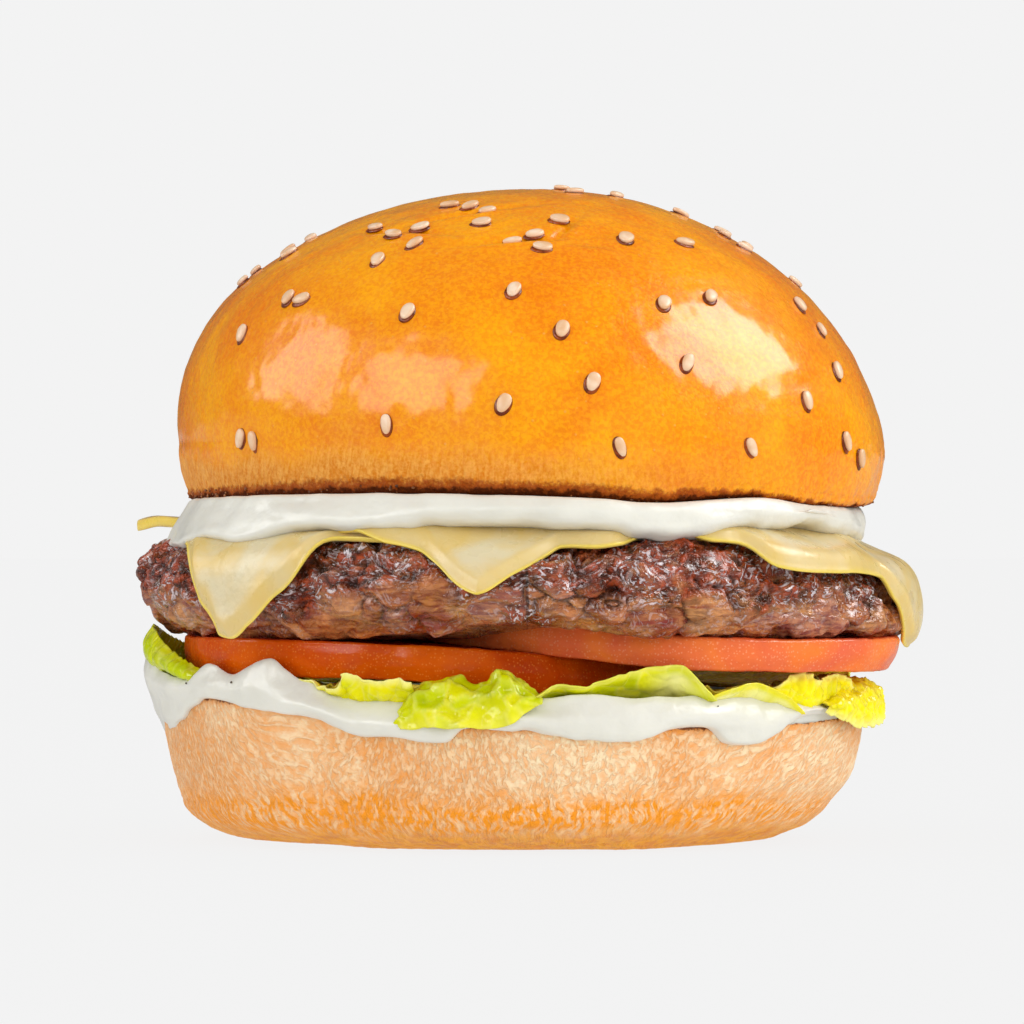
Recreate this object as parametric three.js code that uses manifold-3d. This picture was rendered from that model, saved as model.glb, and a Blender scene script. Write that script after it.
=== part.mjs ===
// A cheeseburger: a sesame bun crown and heel around sauce, two square cheese slices, a beef patty,
// two tomato slices and ruffled lettuce leaves. Millimetres, +Z up, the front faces -Y, and the
// origin is on the flat spot that the heel stands on, straight below the crown's top.
import * as THREE from "three";
import { mergeVertices } from "three/addons/utils/BufferGeometryUtils.js";
import Module from "manifold-3d";

const wasm = await Module();
wasm.setup();

// ---------------------------------------------------------------- driving dimensions
const GAP = 0.35; // clear space between two pieces that touch
const BUN_RADIUS = 55; // crown at its widest
const HEEL = { radius: 54.8, x: -3, flat: 33, foot: 6.5, footRadius: 51.4, lip: 0.9, middle: 20.2 };
const CROWN = { wide: 61.4, top: 100.9, neck: 53.4, lip: 1.6, middle: 52.8, lean: 1.7 };
const PATTY = { radius: 59.4, x: -0.4, top: 46.2, shoulder: 8, foot: 7.5 };
const CHEESE = { thickness: 1.7, rimStart: 54, bend: 6.2 };
const TOMATO = { thickness: 4.6, skinRound: 1.1 };
const LEAF_THICKNESS = 0.7;
const SAUCE_DEPTH = 1.6; // of the lower sauce, inside its rim

// ---------------------------------------------------------------- small helpers
const rad = THREE.MathUtils.degToRad;
const mix = THREE.MathUtils.lerp;
const smooth = (from, to, x) => THREE.MathUtils.smoothstep(x, from, to);

// A point at a radius and height, at an azimuth that is 0 at the front and grows towards +X.
const around = (radius, azimuth, z) =>
  new THREE.Vector3(radius * Math.sin(azimuth), -radius * Math.cos(azimuth), z);

// The value at x of a cubic through the stations [x, value], with slopes from each one's neighbours.
function throughStations(stations, x) {
  let k = 0;
  while (k < stations.length - 2 && x > stations[k + 1][0]) k += 1;
  const slope = (i) => {
    const a = stations[Math.max(i - 1, 0)];
    const b = stations[Math.min(i + 1, stations.length - 1)];
    return (b[1] - a[1]) / (b[0] - a[0]);
  };
  const [x0, v0] = stations[k];
  const [x1, v1] = stations[k + 1];
  const width = x1 - x0;
  const t = THREE.MathUtils.clamp((x - x0) / width, 0, 1);
  const bendOut = t * (1 - t) * ((1 - t) * slope(k) - t * slope(k + 1)) * width;
  return mix(v0, v1, t * t * (3 - 2 * t)) + bendOut;
}

// The same for a closed loop of [degrees, value] round the burger, as a function of azimuth.
function loop(stations) {
  const last = stations.length - 1;
  const wrapped = [
    ...stations.slice(last - 1).map(([a, v]) => [a - 360, v]),
    ...stations,
    ...stations.slice(0, 2).map(([a, v]) => [a + 360, v]),
  ];
  return (azimuth) => {
    const degrees = THREE.MathUtils.radToDeg(azimuth);
    return throughStations(wrapped, THREE.MathUtils.euclideanModulo(degrees + 180, 360) - 180);
  };
}

// A sum of waves round the loop, [waves, size, phase in degrees] each.
const ripple = (waves) => (azimuth) =>
  waves.reduce((sum, [n, size, phase]) => sum + size * Math.cos(n * azimuth - rad(phase)), 0);

// ---------------------------------------------------------------- solids from grids
function geometryOf(points, triangles) {
  const geometry = new THREE.BufferGeometry();
  const places = points.flatMap((p) => p.toArray());
  geometry.setAttribute("position", new THREE.Float32BufferAttribute(places, 3));
  geometry.setIndex(triangles.flat());
  return geometry;
}

// A round body: profile(azimuth) lists [r, z] from the middle of its underside, out and up round its
// side, to the middle of its top. The first and last points lie on the axis through (x, y).
function roundBody(profile, steps, x = 0, y = 0) {
  const centre = new THREE.Vector3(x, y, 0);
  const rings = Array.from({ length: steps }, (_, i) => {
    const azimuth = (i / steps) * 2 * Math.PI;
    return profile(azimuth).map(([r, z]) => around(r, azimuth, z).add(centre));
  });
  const rows = rings[0].length;
  const poleZ = (row) => rings.reduce((sum, ring) => sum + ring[row].z, 0) / steps;
  const points = [new THREE.Vector3(x, y, poleZ(0)), new THREE.Vector3(x, y, poleZ(rows - 1))];
  const at = (i, row) => 2 + (i % steps) * (rows - 2) + row - 1;
  rings.forEach((ring) => points.push(...ring.slice(1, rows - 1)));
  const triangles = [];
  for (let i = 0; i < steps; i += 1) {
    triangles.push([0, at(i + 1, 1), at(i, 1)], [1, at(i, rows - 2), at(i + 1, rows - 2)]);
    for (let row = 1; row < rows - 2; row += 1) {
      triangles.push([at(i, row), at(i + 1, row), at(i + 1, row + 1)]);
      triangles.push([at(i, row), at(i + 1, row + 1), at(i, row + 1)]);
    }
  }
  return geometryOf(points, triangles);
}

// A sheet with a thickness: point(u, v, side) for u and v from 0 to 1, where side is 1 on the face
// that u cross v points out of and 0 on the other.
function sheetBody(point, across, along) {
  const points = [];
  for (const side of [0, 1])
    for (let i = 0; i <= across; i += 1)
      for (let j = 0; j <= along; j += 1) points.push(point(i / across, j / along, side));
  const at = (i, j, side) => side * (across + 1) * (along + 1) + i * (along + 1) + j;
  const triangles = [];
  const quad = (a, b, c, d) => triangles.push([a, b, c], [a, c, d]);
  for (let i = 0; i < across; i += 1)
    for (let j = 0; j < along; j += 1) {
      quad(at(i, j, 1), at(i + 1, j, 1), at(i + 1, j + 1, 1), at(i, j + 1, 1));
      quad(at(i, j, 0), at(i, j + 1, 0), at(i + 1, j + 1, 0), at(i + 1, j, 0));
    }
  for (let i = 0; i < across; i += 1) {
    quad(at(i, 0, 0), at(i + 1, 0, 0), at(i + 1, 0, 1), at(i, 0, 1));
    quad(at(i + 1, along, 0), at(i, along, 0), at(i, along, 1), at(i + 1, along, 1));
  }
  for (let j = 0; j < along; j += 1) {
    quad(at(0, j + 1, 0), at(0, j, 0), at(0, j, 1), at(0, j + 1, 1));
    quad(at(across, j, 0), at(across, j + 1, 0), at(across, j + 1, 1), at(across, j, 1));
  }
  return geometryOf(points, triangles);
}

// ---------------------------------------------------------------- cutting one piece by another
const FINEST = 0.04; // detail below this is left out of a cut piece
const MERGE = 1.5e-3; // points closer than this are one

function solidOf(geometry) {
  const merged = mergeVertices(geometry, MERGE);
  return new wasm.Manifold(
    new wasm.Mesh({
      numProp: 3,
      vertProperties: new Float32Array(merged.attributes.position.array),
      triVerts: new Uint32Array(merged.index.array),
    }),
  );
}

// What is left of a piece once its neighbours, already grown by the gap, are cut away.
function cutBy(geometry, neighbours) {
  const left = neighbours.reduce((solid, other) => solid.subtract(solidOf(other)), solidOf(geometry));
  // Merging the thinned mesh once more turns its slivers into bodies of no volume, left out below.
  const bodies = solidOf(surfaceOf(left.simplify(FINEST))).decompose();
  return surfaceOf(bodies.reduce((a, b) => (a.volume() > b.volume() ? a : b)));
}

function surfaceOf(solid) {
  const mesh = solid.getMesh();
  const surface = new THREE.BufferGeometry();
  surface.setAttribute("position", new THREE.BufferAttribute(new Float32Array(mesh.vertProperties), 3));
  surface.setIndex(new THREE.BufferAttribute(new Uint32Array(mesh.triVerts), 1));
  return surface;
}

// ---------------------------------------------------------------- surfaces that layers share
// Height of the heel's cut rim and of the crown's lower rim round the burger.
const heelRim = loop([
  [-150, 21.4], [-110, 21.8], [-75, 22.3], [-55, 22.8], [-33, 21.4], [-18, 20.2], [-4, 19.5],
  [15, 19.4], [33, 19.1], [55, 19.7], [80, 20.3], [115, 20.8], [150, 21.2],
]);
const crownRim = loop([
  [-150, 52.6], [-120, 52.3], [-90, 52.5], [-60, 52.9], [-35, 53.4], [-12, 53.3], [6, 52.9],
  [20, 52.1], [38, 52.8], [52, 51.8], [65, 51.4], [90, 51.8], [120, 52.5], [160, 53.0],
]);

// A cut face that is level in the middle and meets the rim at its radius.
const faceHeight = (middle, rim, radius, r, azimuth) =>
  mix(middle, rim(azimuth), THREE.MathUtils.clamp(r / radius, 0, 1) ** 2);

// The left tomato slice's top and the right one's underside: high on the left, low on the right.
const tomatoSeam = (x) => 28.9 - 2.8 * Math.tanh((x - 5) / 24);
// The patty's underside lies on the left slice and steps up on to the right one, whose round edge
// lies further right towards the front.
const pattyUnderside = (x, y) =>
  tomatoSeam(x) + GAP + (TOMATO.thickness + GAP) * smooth(-34, -20, x - 11 * smooth(18, 45, -y));

// ---------------------------------------------------------------- buns
const BUN_STEPS = 39;
const heelWobble = ripple([[2, 0.5, 40], [3, 0.35, 200], [5, 0.2, 75]]);
const heelFace = (r, azimuth) => faceHeight(HEEL.middle, heelRim, HEEL.radius - HEEL.lip, r, azimuth);

// The radius of the heel's side at a height between its rounded foot and its lip.
function heelSide(z, azimuth) {
  const share = (z - HEEL.foot) / (heelRim(azimuth) - HEEL.lip - HEEL.foot);
  const swell = 0.5 * Math.sin(Math.PI * THREE.MathUtils.clamp(share, 0, 1));
  return mix(HEEL.footRadius, HEEL.radius, share) + swell + heelWobble(azimuth);
}

function heelBun() {
  return roundBody((azimuth) => {
    const wobble = heelWobble(azimuth);
    const rim = heelRim(azimuth);
    const foot = [0, 1, 2, 3, 4].map((i) => {
      const angle = (i / 4) * (Math.PI / 2);
      const r = mix(HEEL.flat, HEEL.footRadius, Math.sin(angle));
      return [r + wobble * Math.sin(angle), HEEL.foot * (1 - Math.cos(angle))];
    });
    const side = [0.5, 1].map((share) => {
      const z = mix(HEEL.foot, rim - HEEL.lip, share);
      return [heelSide(z, azimuth), z];
    });
    const lip = [HEEL.radius - HEEL.lip + wobble, rim];
    const face = [40, 20].map((r) => [r, heelFace(r, azimuth)]);
    return [[0, 0], ...foot, ...side, lip, ...face, [0, HEEL.middle]];
  }, BUN_STEPS, HEEL.x);
}

const CROWN_RINGS = 9;
const crownFace = (r, azimuth) => faceHeight(CROWN.middle, crownRim, CROWN.neck - CROWN.lip, r, azimuth);

// The crown: an egg-washed dome that leans a little to the left, over a drawn-in neck.
function crownBun() {
  const wobble = ripple([[2, 0.45, 150], [3, 0.35, 20], [4, 0.2, 260]]);
  const dome = (azimuth) =>
    Array.from({ length: CROWN_RINGS }, (_, i) => {
      const angle = (i / CROWN_RINGS) * (Math.PI / 2);
      const height = Math.sin(angle);
      const lean = -CROWN.lean * Math.sin(Math.PI * height) * Math.sin(azimuth);
      const r = (BUN_RADIUS + wobble(azimuth)) * Math.cos(angle) ** 0.98 + lean;
      return [r, mix(CROWN.wide, CROWN.top, height)];
    });
  return roundBody((azimuth) => {
    const rim = crownRim(azimuth);
    const under = [20, 40].map((r) => [r, crownFace(r, azimuth)]);
    const neck = [
      [CROWN.neck - CROWN.lip, rim],
      [CROWN.neck - 0.35 * CROWN.lip + wobble(azimuth), rim + 0.45 * CROWN.lip],
      [CROWN.neck + wobble(azimuth), rim + CROWN.lip],
      [mix(CROWN.neck, BUN_RADIUS, 0.72) + wobble(azimuth), mix(rim + CROWN.lip, CROWN.wide, 0.45)],
    ];
    return [[0, CROWN.middle], ...under, ...neck, ...dome(azimuth), [0, CROWN.top]];
  }, BUN_STEPS);
}

// ---------------------------------------------------------------- patty
const PATTY_STEPS = 40;
const pattyRadius = (azimuth) =>
  PATTY.radius + ripple([[2, 0.4, 180], [3, 0.5, 60], [5, 0.55, 310], [9, 0.35, 120]])(azimuth);

// Its rim stands up where no cheese lies over it.
const pattyCrest = loop([
  [-150, 0], [-60, 0], [-31, 0.3], [-20, 0.4], [-6, 0], [12, 0.7], [24, 1.3], [36, 0.3], [60, 0], [120, 0.4],
]);

// It is widest near its top on the left and near its foot on the right.
function pattyProfile(azimuth, pad = 0) {
  const radius = pattyRadius(azimuth) + pad;
  const widest = mix(0.68, 0.2, 0.5 + 0.5 * Math.sin(azimuth));
  const floor = (r) => pattyUnderside(PATTY.x + r * Math.sin(azimuth), -r * Math.cos(azimuth)) - pad;
  const top = PATTY.top + pad;
  const crest = top + pattyCrest(azimuth);
  const level = mix(floor(radius - PATTY.foot), crest, widest);
  const turn = (i) => (i / 3) * (Math.PI / 2);
  const below = [0, 1, 2].map((i) => {
    const r = radius - PATTY.foot * (1 - Math.sin(turn(i)));
    return [r, mix(floor(r), level, 1 - Math.cos(turn(i)))];
  });
  const above = [0, 1, 2, 3].map((i) => {
    const r = radius - PATTY.shoulder * (1 - Math.cos(turn(i)));
    return [r, mix(level, crest, Math.sin(turn(i)))];
  });
  const under = [0.25, 0.5, 0.75, 0.92].map((share) => {
    const r = share * (radius - PATTY.foot);
    return [r, floor(r)];
  });
  return [[0, floor(0)], ...under, ...below, ...above, [0.78 * radius, top], [0.4 * radius, top], [0, top]];
}
const beefPatty = (pad = 0) => roundBody((azimuth) => pattyProfile(azimuth, pad), PATTY_STEPS, PATTY.x);

// ---------------------------------------------------------------- cheese
const CHEESE_STEPS = 11;
const CHEESE_LIFT = GAP + 0.05; // of a slice off what it lies on

// Where a slice lies: its middle, its turn in degrees, its half sides, and how far each side droops,
// as [azimuth in degrees, 0 level to 1 hanging].
const LOWER_SLICE = {
  x: -6, y: 2, turn: 4.5, half: [49.5, 48],
  droop: loop([[-140, 1], [-46, 1], [50, 1], [140, 0.9]]),
};
const UPPER_SLICE = {
  x: 3.6, y: 0.7, turn: 35, half: [48, 47.5],
  droop: loop([
    [-160, 0.5], [-125, 0.15], [-98, 0.04], [-72, 0.15], [-45, 0.75], [-7, 1], [82, 1], [150, 0.9],
    [175, 0.9],
  ]),
};

// How deep a point lies inside the lower slice's outline, below 0 outside it.
function insideLowerSlice(x, y) {
  const turn = rad(LOWER_SLICE.turn);
  const dx = x - LOWER_SLICE.x;
  const dy = y - LOWER_SLICE.y;
  const across = Math.abs(dx * Math.cos(turn) + dy * Math.sin(turn));
  const along = Math.abs(dy * Math.cos(turn) - dx * Math.sin(turn));
  return Math.min(LOWER_SLICE.half[0] - across, LOWER_SLICE.half[1] - along);
}

// A flat point of a slice, laid over the patty: level to the patty's rim, round a quarter bend, then
// straight down. Returns its place and the way that its upper face looks.
function drape(flatX, flatY, height, droop) {
  const reach = Math.hypot(flatX, flatY);
  const azimuth = Math.atan2(flatX, -flatY);
  const hang = droop(azimuth);
  const bend = CHEESE.bend;
  const past = Math.max(reach - CHEESE.rimStart, 0);
  const angle = Math.min(past / bend, Math.PI / 2);
  const below = Math.max(past - (bend * Math.PI) / 2, 0);
  const r = mix(reach, Math.min(reach, CHEESE.rimStart) + bend * Math.sin(angle), hang);
  const fall = hang * (bend * (1 - Math.cos(angle)) + below);
  const lean = angle * hang;
  const place = around(r, azimuth, PATTY.top + height - fall);
  const out = around(Math.sin(lean), azimuth, Math.cos(lean));
  return { place, out };
}

function cheeseSlice(slice, pad = 0) {
  const turn = rad(slice.turn);
  // The upper slice climbs on to the lower one where it crosses that one's edge.
  const climb = (x, y) => (slice === UPPER_SLICE ? smooth(-9, 2, insideLowerSlice(x, y)) : 0);
  // Steps are finer towards the rim, where the slice bends.
  const spread = (t) => Math.sign(t - 0.5) * Math.abs(2 * t - 1) ** 0.75;
  return sheetBody((u, v, side) => {
    const a = (slice.half[0] + pad) * spread(u);
    const b = (slice.half[1] + pad) * spread(v);
    const x = slice.x + a * Math.cos(turn) - b * Math.sin(turn);
    const y = slice.y + a * Math.sin(turn) + b * Math.cos(turn);
    const height = CHEESE_LIFT + (CHEESE.thickness + CHEESE_LIFT) * climb(x, y);
    const { place, out } = drape(x, y, height, slice.droop);
    return place.addScaledVector(out, side ? CHEESE.thickness + pad : -pad);
  }, CHEESE_STEPS, CHEESE_STEPS);
}

// ---------------------------------------------------------------- sauce
const UPPER_SAUCE_STEPS = 42;
const LOWER_SAUCE_STEPS = 54;

// The upper sauce bulges out from under the crown; its lower edge hangs over cheese and patty.
const upperSauceFoot = loop([
  [-150, 46.2], [-115, 46.6], [-90, 45.6], [-66, 45.5], [-56, 46.9], [-46, 46.5], [-37, 48.3], [-27, 48.2],
  [-16, 49.1], [-3, 49.1], [8, 48.5], [21, 47.0], [27, 47.1], [33, 48.6], [44, 48.6], [50, 49.1], [60, 47.7],
  [80, 46.4], [100, 46.0], [130, 47.4], [165, 46.4],
]);
const upperSauceRadius = loop([
  [-150, 54.8], [-90, 56.2], [-55, 57.4], [-20, 57.0], [15, 57.4], [40, 56.6], [65, 54.8], [90, 52.6],
  [130, 54], [170, 55.2],
]);

function upperSauce() {
  const body = roundBody((azimuth) => {
    const radius = upperSauceRadius(azimuth);
    const foot = upperSauceFoot(azimuth);
    const roof = (r) => crownFace(r, azimuth) - GAP;
    const floor = PATTY.top + 0.6;
    return [
      [0, floor], [42, floor], [radius - 3.6, foot - 0.6], [radius - 1.4, foot + 0.1],
      [radius - 0.2, foot + 1.4], [radius - 0.2, roof(radius) - 1.3], [radius - 1.4, roof(radius) - 0.2],
      [40, roof(40)], [20, roof(20)], [0, CROWN.middle - GAP],
    ];
  }, UPPER_SAUCE_STEPS);
  return cutBy(body, [cheeseSlice(UPPER_SLICE, GAP), cheeseSlice(LOWER_SLICE, GAP), beefPatty(GAP)]);
}

// The lower sauce runs over the heel's rim. Its foot is the edge of its drips, its brow is the edge
// that stands up against the lettuce, and its brink is how far out that brow lies.
const lowerSauceFoot = loop([
  [-165, 18.2], [-140, 16.4], [-118, 18.8], [-98, 17.6], [-84, 17.5], [-70, 21.6], [-60, 22.2], [-45, 21.2],
  [-32, 20.0], [-24, 17.8], [-19, 17.6], [-10, 16.9], [-7, 18.7], [1, 18.6], [8, 17.6], [18, 16.9],
  [25, 18.6], [31, 18.9], [35, 16.6], [40, 16.0], [45, 17.8], [51, 20.0], [64, 20.2], [74, 18.9], [84, 20.2],
  [105, 18.4], [128, 17.0], [150, 19.4],
]);
const lowerSauceBrow = loop([
  [-165, 22.6], [-140, 23.4], [-112, 26.2], [-92, 28.4], [-80, 27.8], [-66, 25.3], [-58, 27.4], [-51.5, 26.6],
  [-45, 28.3], [-38, 25.6], [-30, 23.4], [-15, 22.6], [10, 23.4], [40, 23.2], [60, 22.4], [85, 21.9],
  [120, 22.8], [150, 22.4],
]);
const lowerSauceBrink = loop([
  [-165, 53.2], [-140, 54.4], [-112, 57.6], [-92, 59.3], [-72, 58.9], [-45, 57.4], [-28, 55.4], [0, 54.9],
  [30, 54.6], [58, 52.0], [90, 50.0], [130, 53.0],
]);
// How far the drips stand off the heel's side.
const lowerSauceDrip = loop([
  [-150, 2.0], [-90, 2.4], [-40, 2.0], [20, 2.2], [40, 2.4], [56, 1.4], [66, 0.8], [75, 0.8], [95, 0.9],
  [115, 1.8], [140, 2.2],
]);

const lowerSauceTop = (r, azimuth) => heelFace(r, azimuth) + GAP + SAUCE_DEPTH;

function lowerSauce() {
  const body = roundBody((azimuth) => {
    const foot = lowerSauceFoot(azimuth);
    const brow = lowerSauceBrow(azimuth);
    const brink = lowerSauceBrink(azimuth) - HEEL.x * Math.sin(azimuth);
    const lipZ = heelRim(azimuth) - HEEL.lip;
    const skin = heelSide(foot, azimuth);
    const over = (r) => [r, lowerSauceTop(r, azimuth)];
    const drip = lowerSauceDrip(azimuth);
    const belly = Math.max(skin + drip, brink + 0.3 * drip);
    const underside = [
      [0, HEEL.middle + GAP], [36, heelFace(36, azimuth) + GAP],
      [HEEL.radius + heelWobble(azimuth) - 0.5, lipZ + HEEL.lip + GAP],
      [heelSide(lipZ, azimuth) + GAP + 0.1, lipZ], [skin + GAP, foot],
    ];
    const outside = [
      [skin + 0.8 * drip, foot + 0.4], [belly, mix(foot, brow, 0.4)],
      [brink + 0.3 * drip, mix(foot, brow, 0.78)], [brink - 0.5, brow],
    ];
    const roof = [[brink - 3.2, mix(over(50)[1], brow, 0.3)], over(brink - 8), over(26), over(0)];
    return [...underside, ...outside, ...roof];
  }, LOWER_SAUCE_STEPS, HEEL.x);
  return cutBy(body, [tomatoSlice(LEFT_SLICE, GAP), lettuceLeaf(LEAVES.lettuce_left_cup, GAP)]);
}

// ---------------------------------------------------------------- tomato
const TOMATO_STEPS = 30;

// A slice follows the seam between the two slices, so it sags to the right like its neighbour.
function tomatoSlice({ x, y, radius, lobes, offset }, pad = 0) {
  const outline = ripple(lobes);
  const half = TOMATO.thickness / 2 + pad;
  return roundBody((azimuth) => {
    const edge = radius + outline(azimuth) + pad;
    const level = (r) => tomatoSeam(x + r * Math.sin(azimuth)) + offset;
    const round = TOMATO.skinRound;
    return [
      [0, level(0) - half], [0.5 * edge, level(0.5 * edge) - half], [edge - round, level(edge) - half],
      [edge, level(edge) - 0.4 * half], [edge, level(edge) + 0.4 * half],
      [edge - round, level(edge) + half], [0.5 * edge, level(0.5 * edge) + half], [0, level(0) + half],
    ];
  }, TOMATO_STEPS, x, y);
}
const LEFT_SLICE = {
  x: -16.2, y: -8.6, radius: 38.0, lobes: [[2, 0.5, 30], [5, 0.45, 100]],
  offset: -(TOMATO.thickness + GAP) / 2,
};
const RIGHT_SLICE = {
  x: 19.4, y: -10.6, radius: 37, lobes: [[2, 0.4, 120], [5, 0.4, 10]],
  offset: (TOMATO.thickness + GAP) / 2,
};

// ---------------------------------------------------------------- lettuce
// A leaf is a ruffled sheet that lies on the sauce from its root to its bed, both radii, then passes
// its crest and ends at its free edge, both [radius, z]. The free edge reaches furthest at the peak,
// a share of the way round the leaf, and draws back to the crest at both ends.
const LEAVES = {
  lettuce_left_cup: {
    from: -116, to: -62, root: 40, bed: 51, crest: [57.1, 26.9], edge: [58.2, 33.0],
    peak: 0.45, ruffles: 4, size: 0.35, lift: 0.3,
  },
  lettuce_pale_frill: {
    from: -46, to: -18.6, root: 38, bed: 47, crest: [51.8, 25.4], edge: [56.2, 27.0],
    peak: 0.75, ruffles: 5, size: 0.45, lift: 0.2,
  },
  lettuce_front_leaf: {
    from: -18, to: 2, root: 39, bed: 48.5, crest: [53.6, 27.6], edge: [58.6, 19.4],
    peak: 0.3, ruffles: 3, size: 0.4, lift: 1.3,
  },
  lettuce_folded_leaf: {
    from: 3, to: 29, root: 40, bed: 46, crest: [51.4, 24.2], edge: [54.8, 28.0],
    peak: 0.68, ruffles: 2, size: 0.3, lift: 0,
  },
  lettuce_wavy_leaf: {
    from: 31, to: 52, root: 38, bed: 46, crest: [51.6, 24.0], edge: [55.2, 25.6],
    peak: 0.3, ruffles: 3, size: 0.4, lift: 0,
  },
  lettuce_right_frill: {
    from: 42, to: 58, root: 37, bed: 43, crest: [48.6, 24.5], edge: [52.6, 25.5],
    peak: 0.4, ruffles: 3, size: 0.35, lift: 0.9,
  },
  lettuce_right_bunch: {
    from: 61, to: 100, root: 36, bed: 44, crest: [50.8, 25.2], edge: [55.4, 18.4],
    peak: 0.3, ruffles: 5, size: 0.5, lift: 0.3,
  },
  lettuce_back_right: {
    from: 106, to: 166, root: 34, bed: 44, crest: [51.4, 26.4], edge: [55.6, 30.0],
    peak: 0.4, ruffles: 5, size: 1.1, lift: 0.1,
  },
  lettuce_back_left: {
    from: 172, to: 232, root: 34, bed: 44, crest: [51.8, 27.0], edge: [56.2, 30.2],
    peak: 0.6, ruffles: 5, size: 1.1, lift: 0.1,
  },
};
const LEAF_TAPER = 0.75; // how much of the way from its free edge to its crest a leaf draws back

function lettuceLeaf({ from, to, root, bed, crest, edge, peak, ruffles, size, lift }, pad = 0) {
  const centreline = (u, v) => {
    const azimuth = rad(mix(from, to, u));
    const away = u < peak ? (peak - u) / peak : (u - peak) / (1 - peak);
    const reach = 1 - LEAF_TAPER * Math.abs(away) ** 3;
    const tip = edge.map((value, k) => mix(crest[k], value, reach));
    const lie = (r) => lowerSauceTop(r, azimuth) + GAP + LEAF_THICKNESS / 2 + lift;
    const radii = [[0, root], [0.35, bed], [0.65, crest[0]], [1, tip[0]]];
    const heights = [[0, lie(root)], [0.35, lie(bed)], [0.65, crest[1]], [1, tip[1]]];
    const wave = size * smooth(0.4, 1, v) * Math.sin(2 * Math.PI * ruffles * u);
    return around(throughStations(radii, v) + wave, azimuth, throughStations(heights, v) + 0.5 * wave);
  };
  const step = 0.01;
  return sheetBody((u, v, side) => {
    const alongU = centreline(u + step, v).sub(centreline(u - step, v));
    const alongV = centreline(u, v + step).sub(centreline(u, v - step));
    const normal = alongU.cross(alongV).normalize();
    return centreline(u, v).addScaledVector(normal, (side ? 1 : -1) * (LEAF_THICKNESS / 2 + pad));
  }, 2 * ruffles + 3, 4);
}

// ---------------------------------------------------------------- the burger
const FINISH = {
  crust: { color: 0xdb8526, roughness: 0.32 },
  paleCrust: { color: 0xe0a565, roughness: 0.65 },
  sauce: { color: 0xe9eadf, roughness: 0.22 },
  cheese: { color: 0xe2cc84, roughness: 0.3 },
  beef: { color: 0x5c3a30, roughness: 0.45 },
  tomato: { color: 0xc4451c, roughness: 0.28 },
  lettuce: { color: 0xb5cc2b, roughness: 0.4 },
};

function piece(name, geometry, finish) {
  const mesh = new THREE.Mesh(geometry, new THREE.MeshStandardMaterial({ ...finish, metalness: 0 }));
  mesh.name = name;
  return mesh;
}

const burger = new THREE.Group();
burger.add(piece("bun_heel", heelBun(), FINISH.paleCrust));
burger.add(piece("sauce_lower", lowerSauce(), FINISH.sauce));
for (const [name, leaf] of Object.entries(LEAVES)) {
  burger.add(piece(name, lettuceLeaf(leaf), FINISH.lettuce));
}
burger.add(piece("tomato_left", tomatoSlice(LEFT_SLICE), FINISH.tomato));
burger.add(piece("tomato_right", tomatoSlice(RIGHT_SLICE), FINISH.tomato));
burger.add(piece("beef_patty", beefPatty(), FINISH.beef));
const lowerCheese = cutBy(cheeseSlice(LOWER_SLICE), [beefPatty(GAP)]);
burger.add(piece("cheese_lower", lowerCheese, FINISH.cheese));
const upperCheese = cutBy(cheeseSlice(UPPER_SLICE), [cheeseSlice(LOWER_SLICE, GAP), beefPatty(GAP)]);
burger.add(piece("cheese_upper", upperCheese, FINISH.cheese));
burger.add(piece("sauce_upper", upperSauce(), FINISH.sauce));
burger.add(piece("bun_crown", crownBun(), FINISH.crust));

export default burger;
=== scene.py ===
"""A cheeseburger: sesame crown, sauce, two cheese slices, beef patty, tomato, lettuce and heel.

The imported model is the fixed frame.  Each class below builds one layer of the burger as a fine
surface in millimetres, +Z up, with the front facing -Y, and stands for the CAD nodes of that layer.
An azimuth is 0 at the front and grows towards +X.
"""

from __future__ import annotations

import logging
import math
from abc import ABC, abstractmethod
from dataclasses import dataclass, field
from enum import Enum
from typing import Any, Sequence

import bpy
import numpy as np
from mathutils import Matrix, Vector

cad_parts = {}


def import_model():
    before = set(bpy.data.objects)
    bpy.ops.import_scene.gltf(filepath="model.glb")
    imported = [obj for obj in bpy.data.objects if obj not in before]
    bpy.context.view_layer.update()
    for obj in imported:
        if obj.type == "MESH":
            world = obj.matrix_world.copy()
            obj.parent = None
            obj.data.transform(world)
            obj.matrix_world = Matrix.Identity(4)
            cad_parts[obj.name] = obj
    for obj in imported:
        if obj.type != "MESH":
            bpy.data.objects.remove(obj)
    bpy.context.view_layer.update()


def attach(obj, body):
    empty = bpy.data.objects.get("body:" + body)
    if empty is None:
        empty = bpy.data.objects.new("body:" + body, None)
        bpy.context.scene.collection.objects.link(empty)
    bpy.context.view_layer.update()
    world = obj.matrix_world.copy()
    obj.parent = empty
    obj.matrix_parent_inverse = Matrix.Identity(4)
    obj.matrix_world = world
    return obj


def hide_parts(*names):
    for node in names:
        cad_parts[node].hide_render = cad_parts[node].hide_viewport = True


Array = np.ndarray
Socket = bpy.types.NodeSocket
Triple = tuple[float, float, float]
Colour = tuple[float, float, float, float]
log = logging.getLogger("cheeseburger")

MM = 0.001  # metres in a millimetre
GAP = 0.35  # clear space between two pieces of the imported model
RIGHT_SLICE_THICKNESS = 5.1  # of the upper tomato slice, which lifts the patty
CRUMBS = 260  # along the crown's cut rim


class Slot(Enum):
    """The record's material slots."""

    CROWN = "crown_crust"
    HEEL = "heel_crust"
    SAUCE = "sauce"
    CHEESE = "cheese"
    BEEF = "beef"
    TOMATO = "tomato"
    LETTUCE = "lettuce"


# ------------------------------------------------------------------ numbers
def mix(low: Any, high: Any, share: Any) -> Any:
    """The value a share of the way from low to high."""
    return low + (high - low) * share


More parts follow.
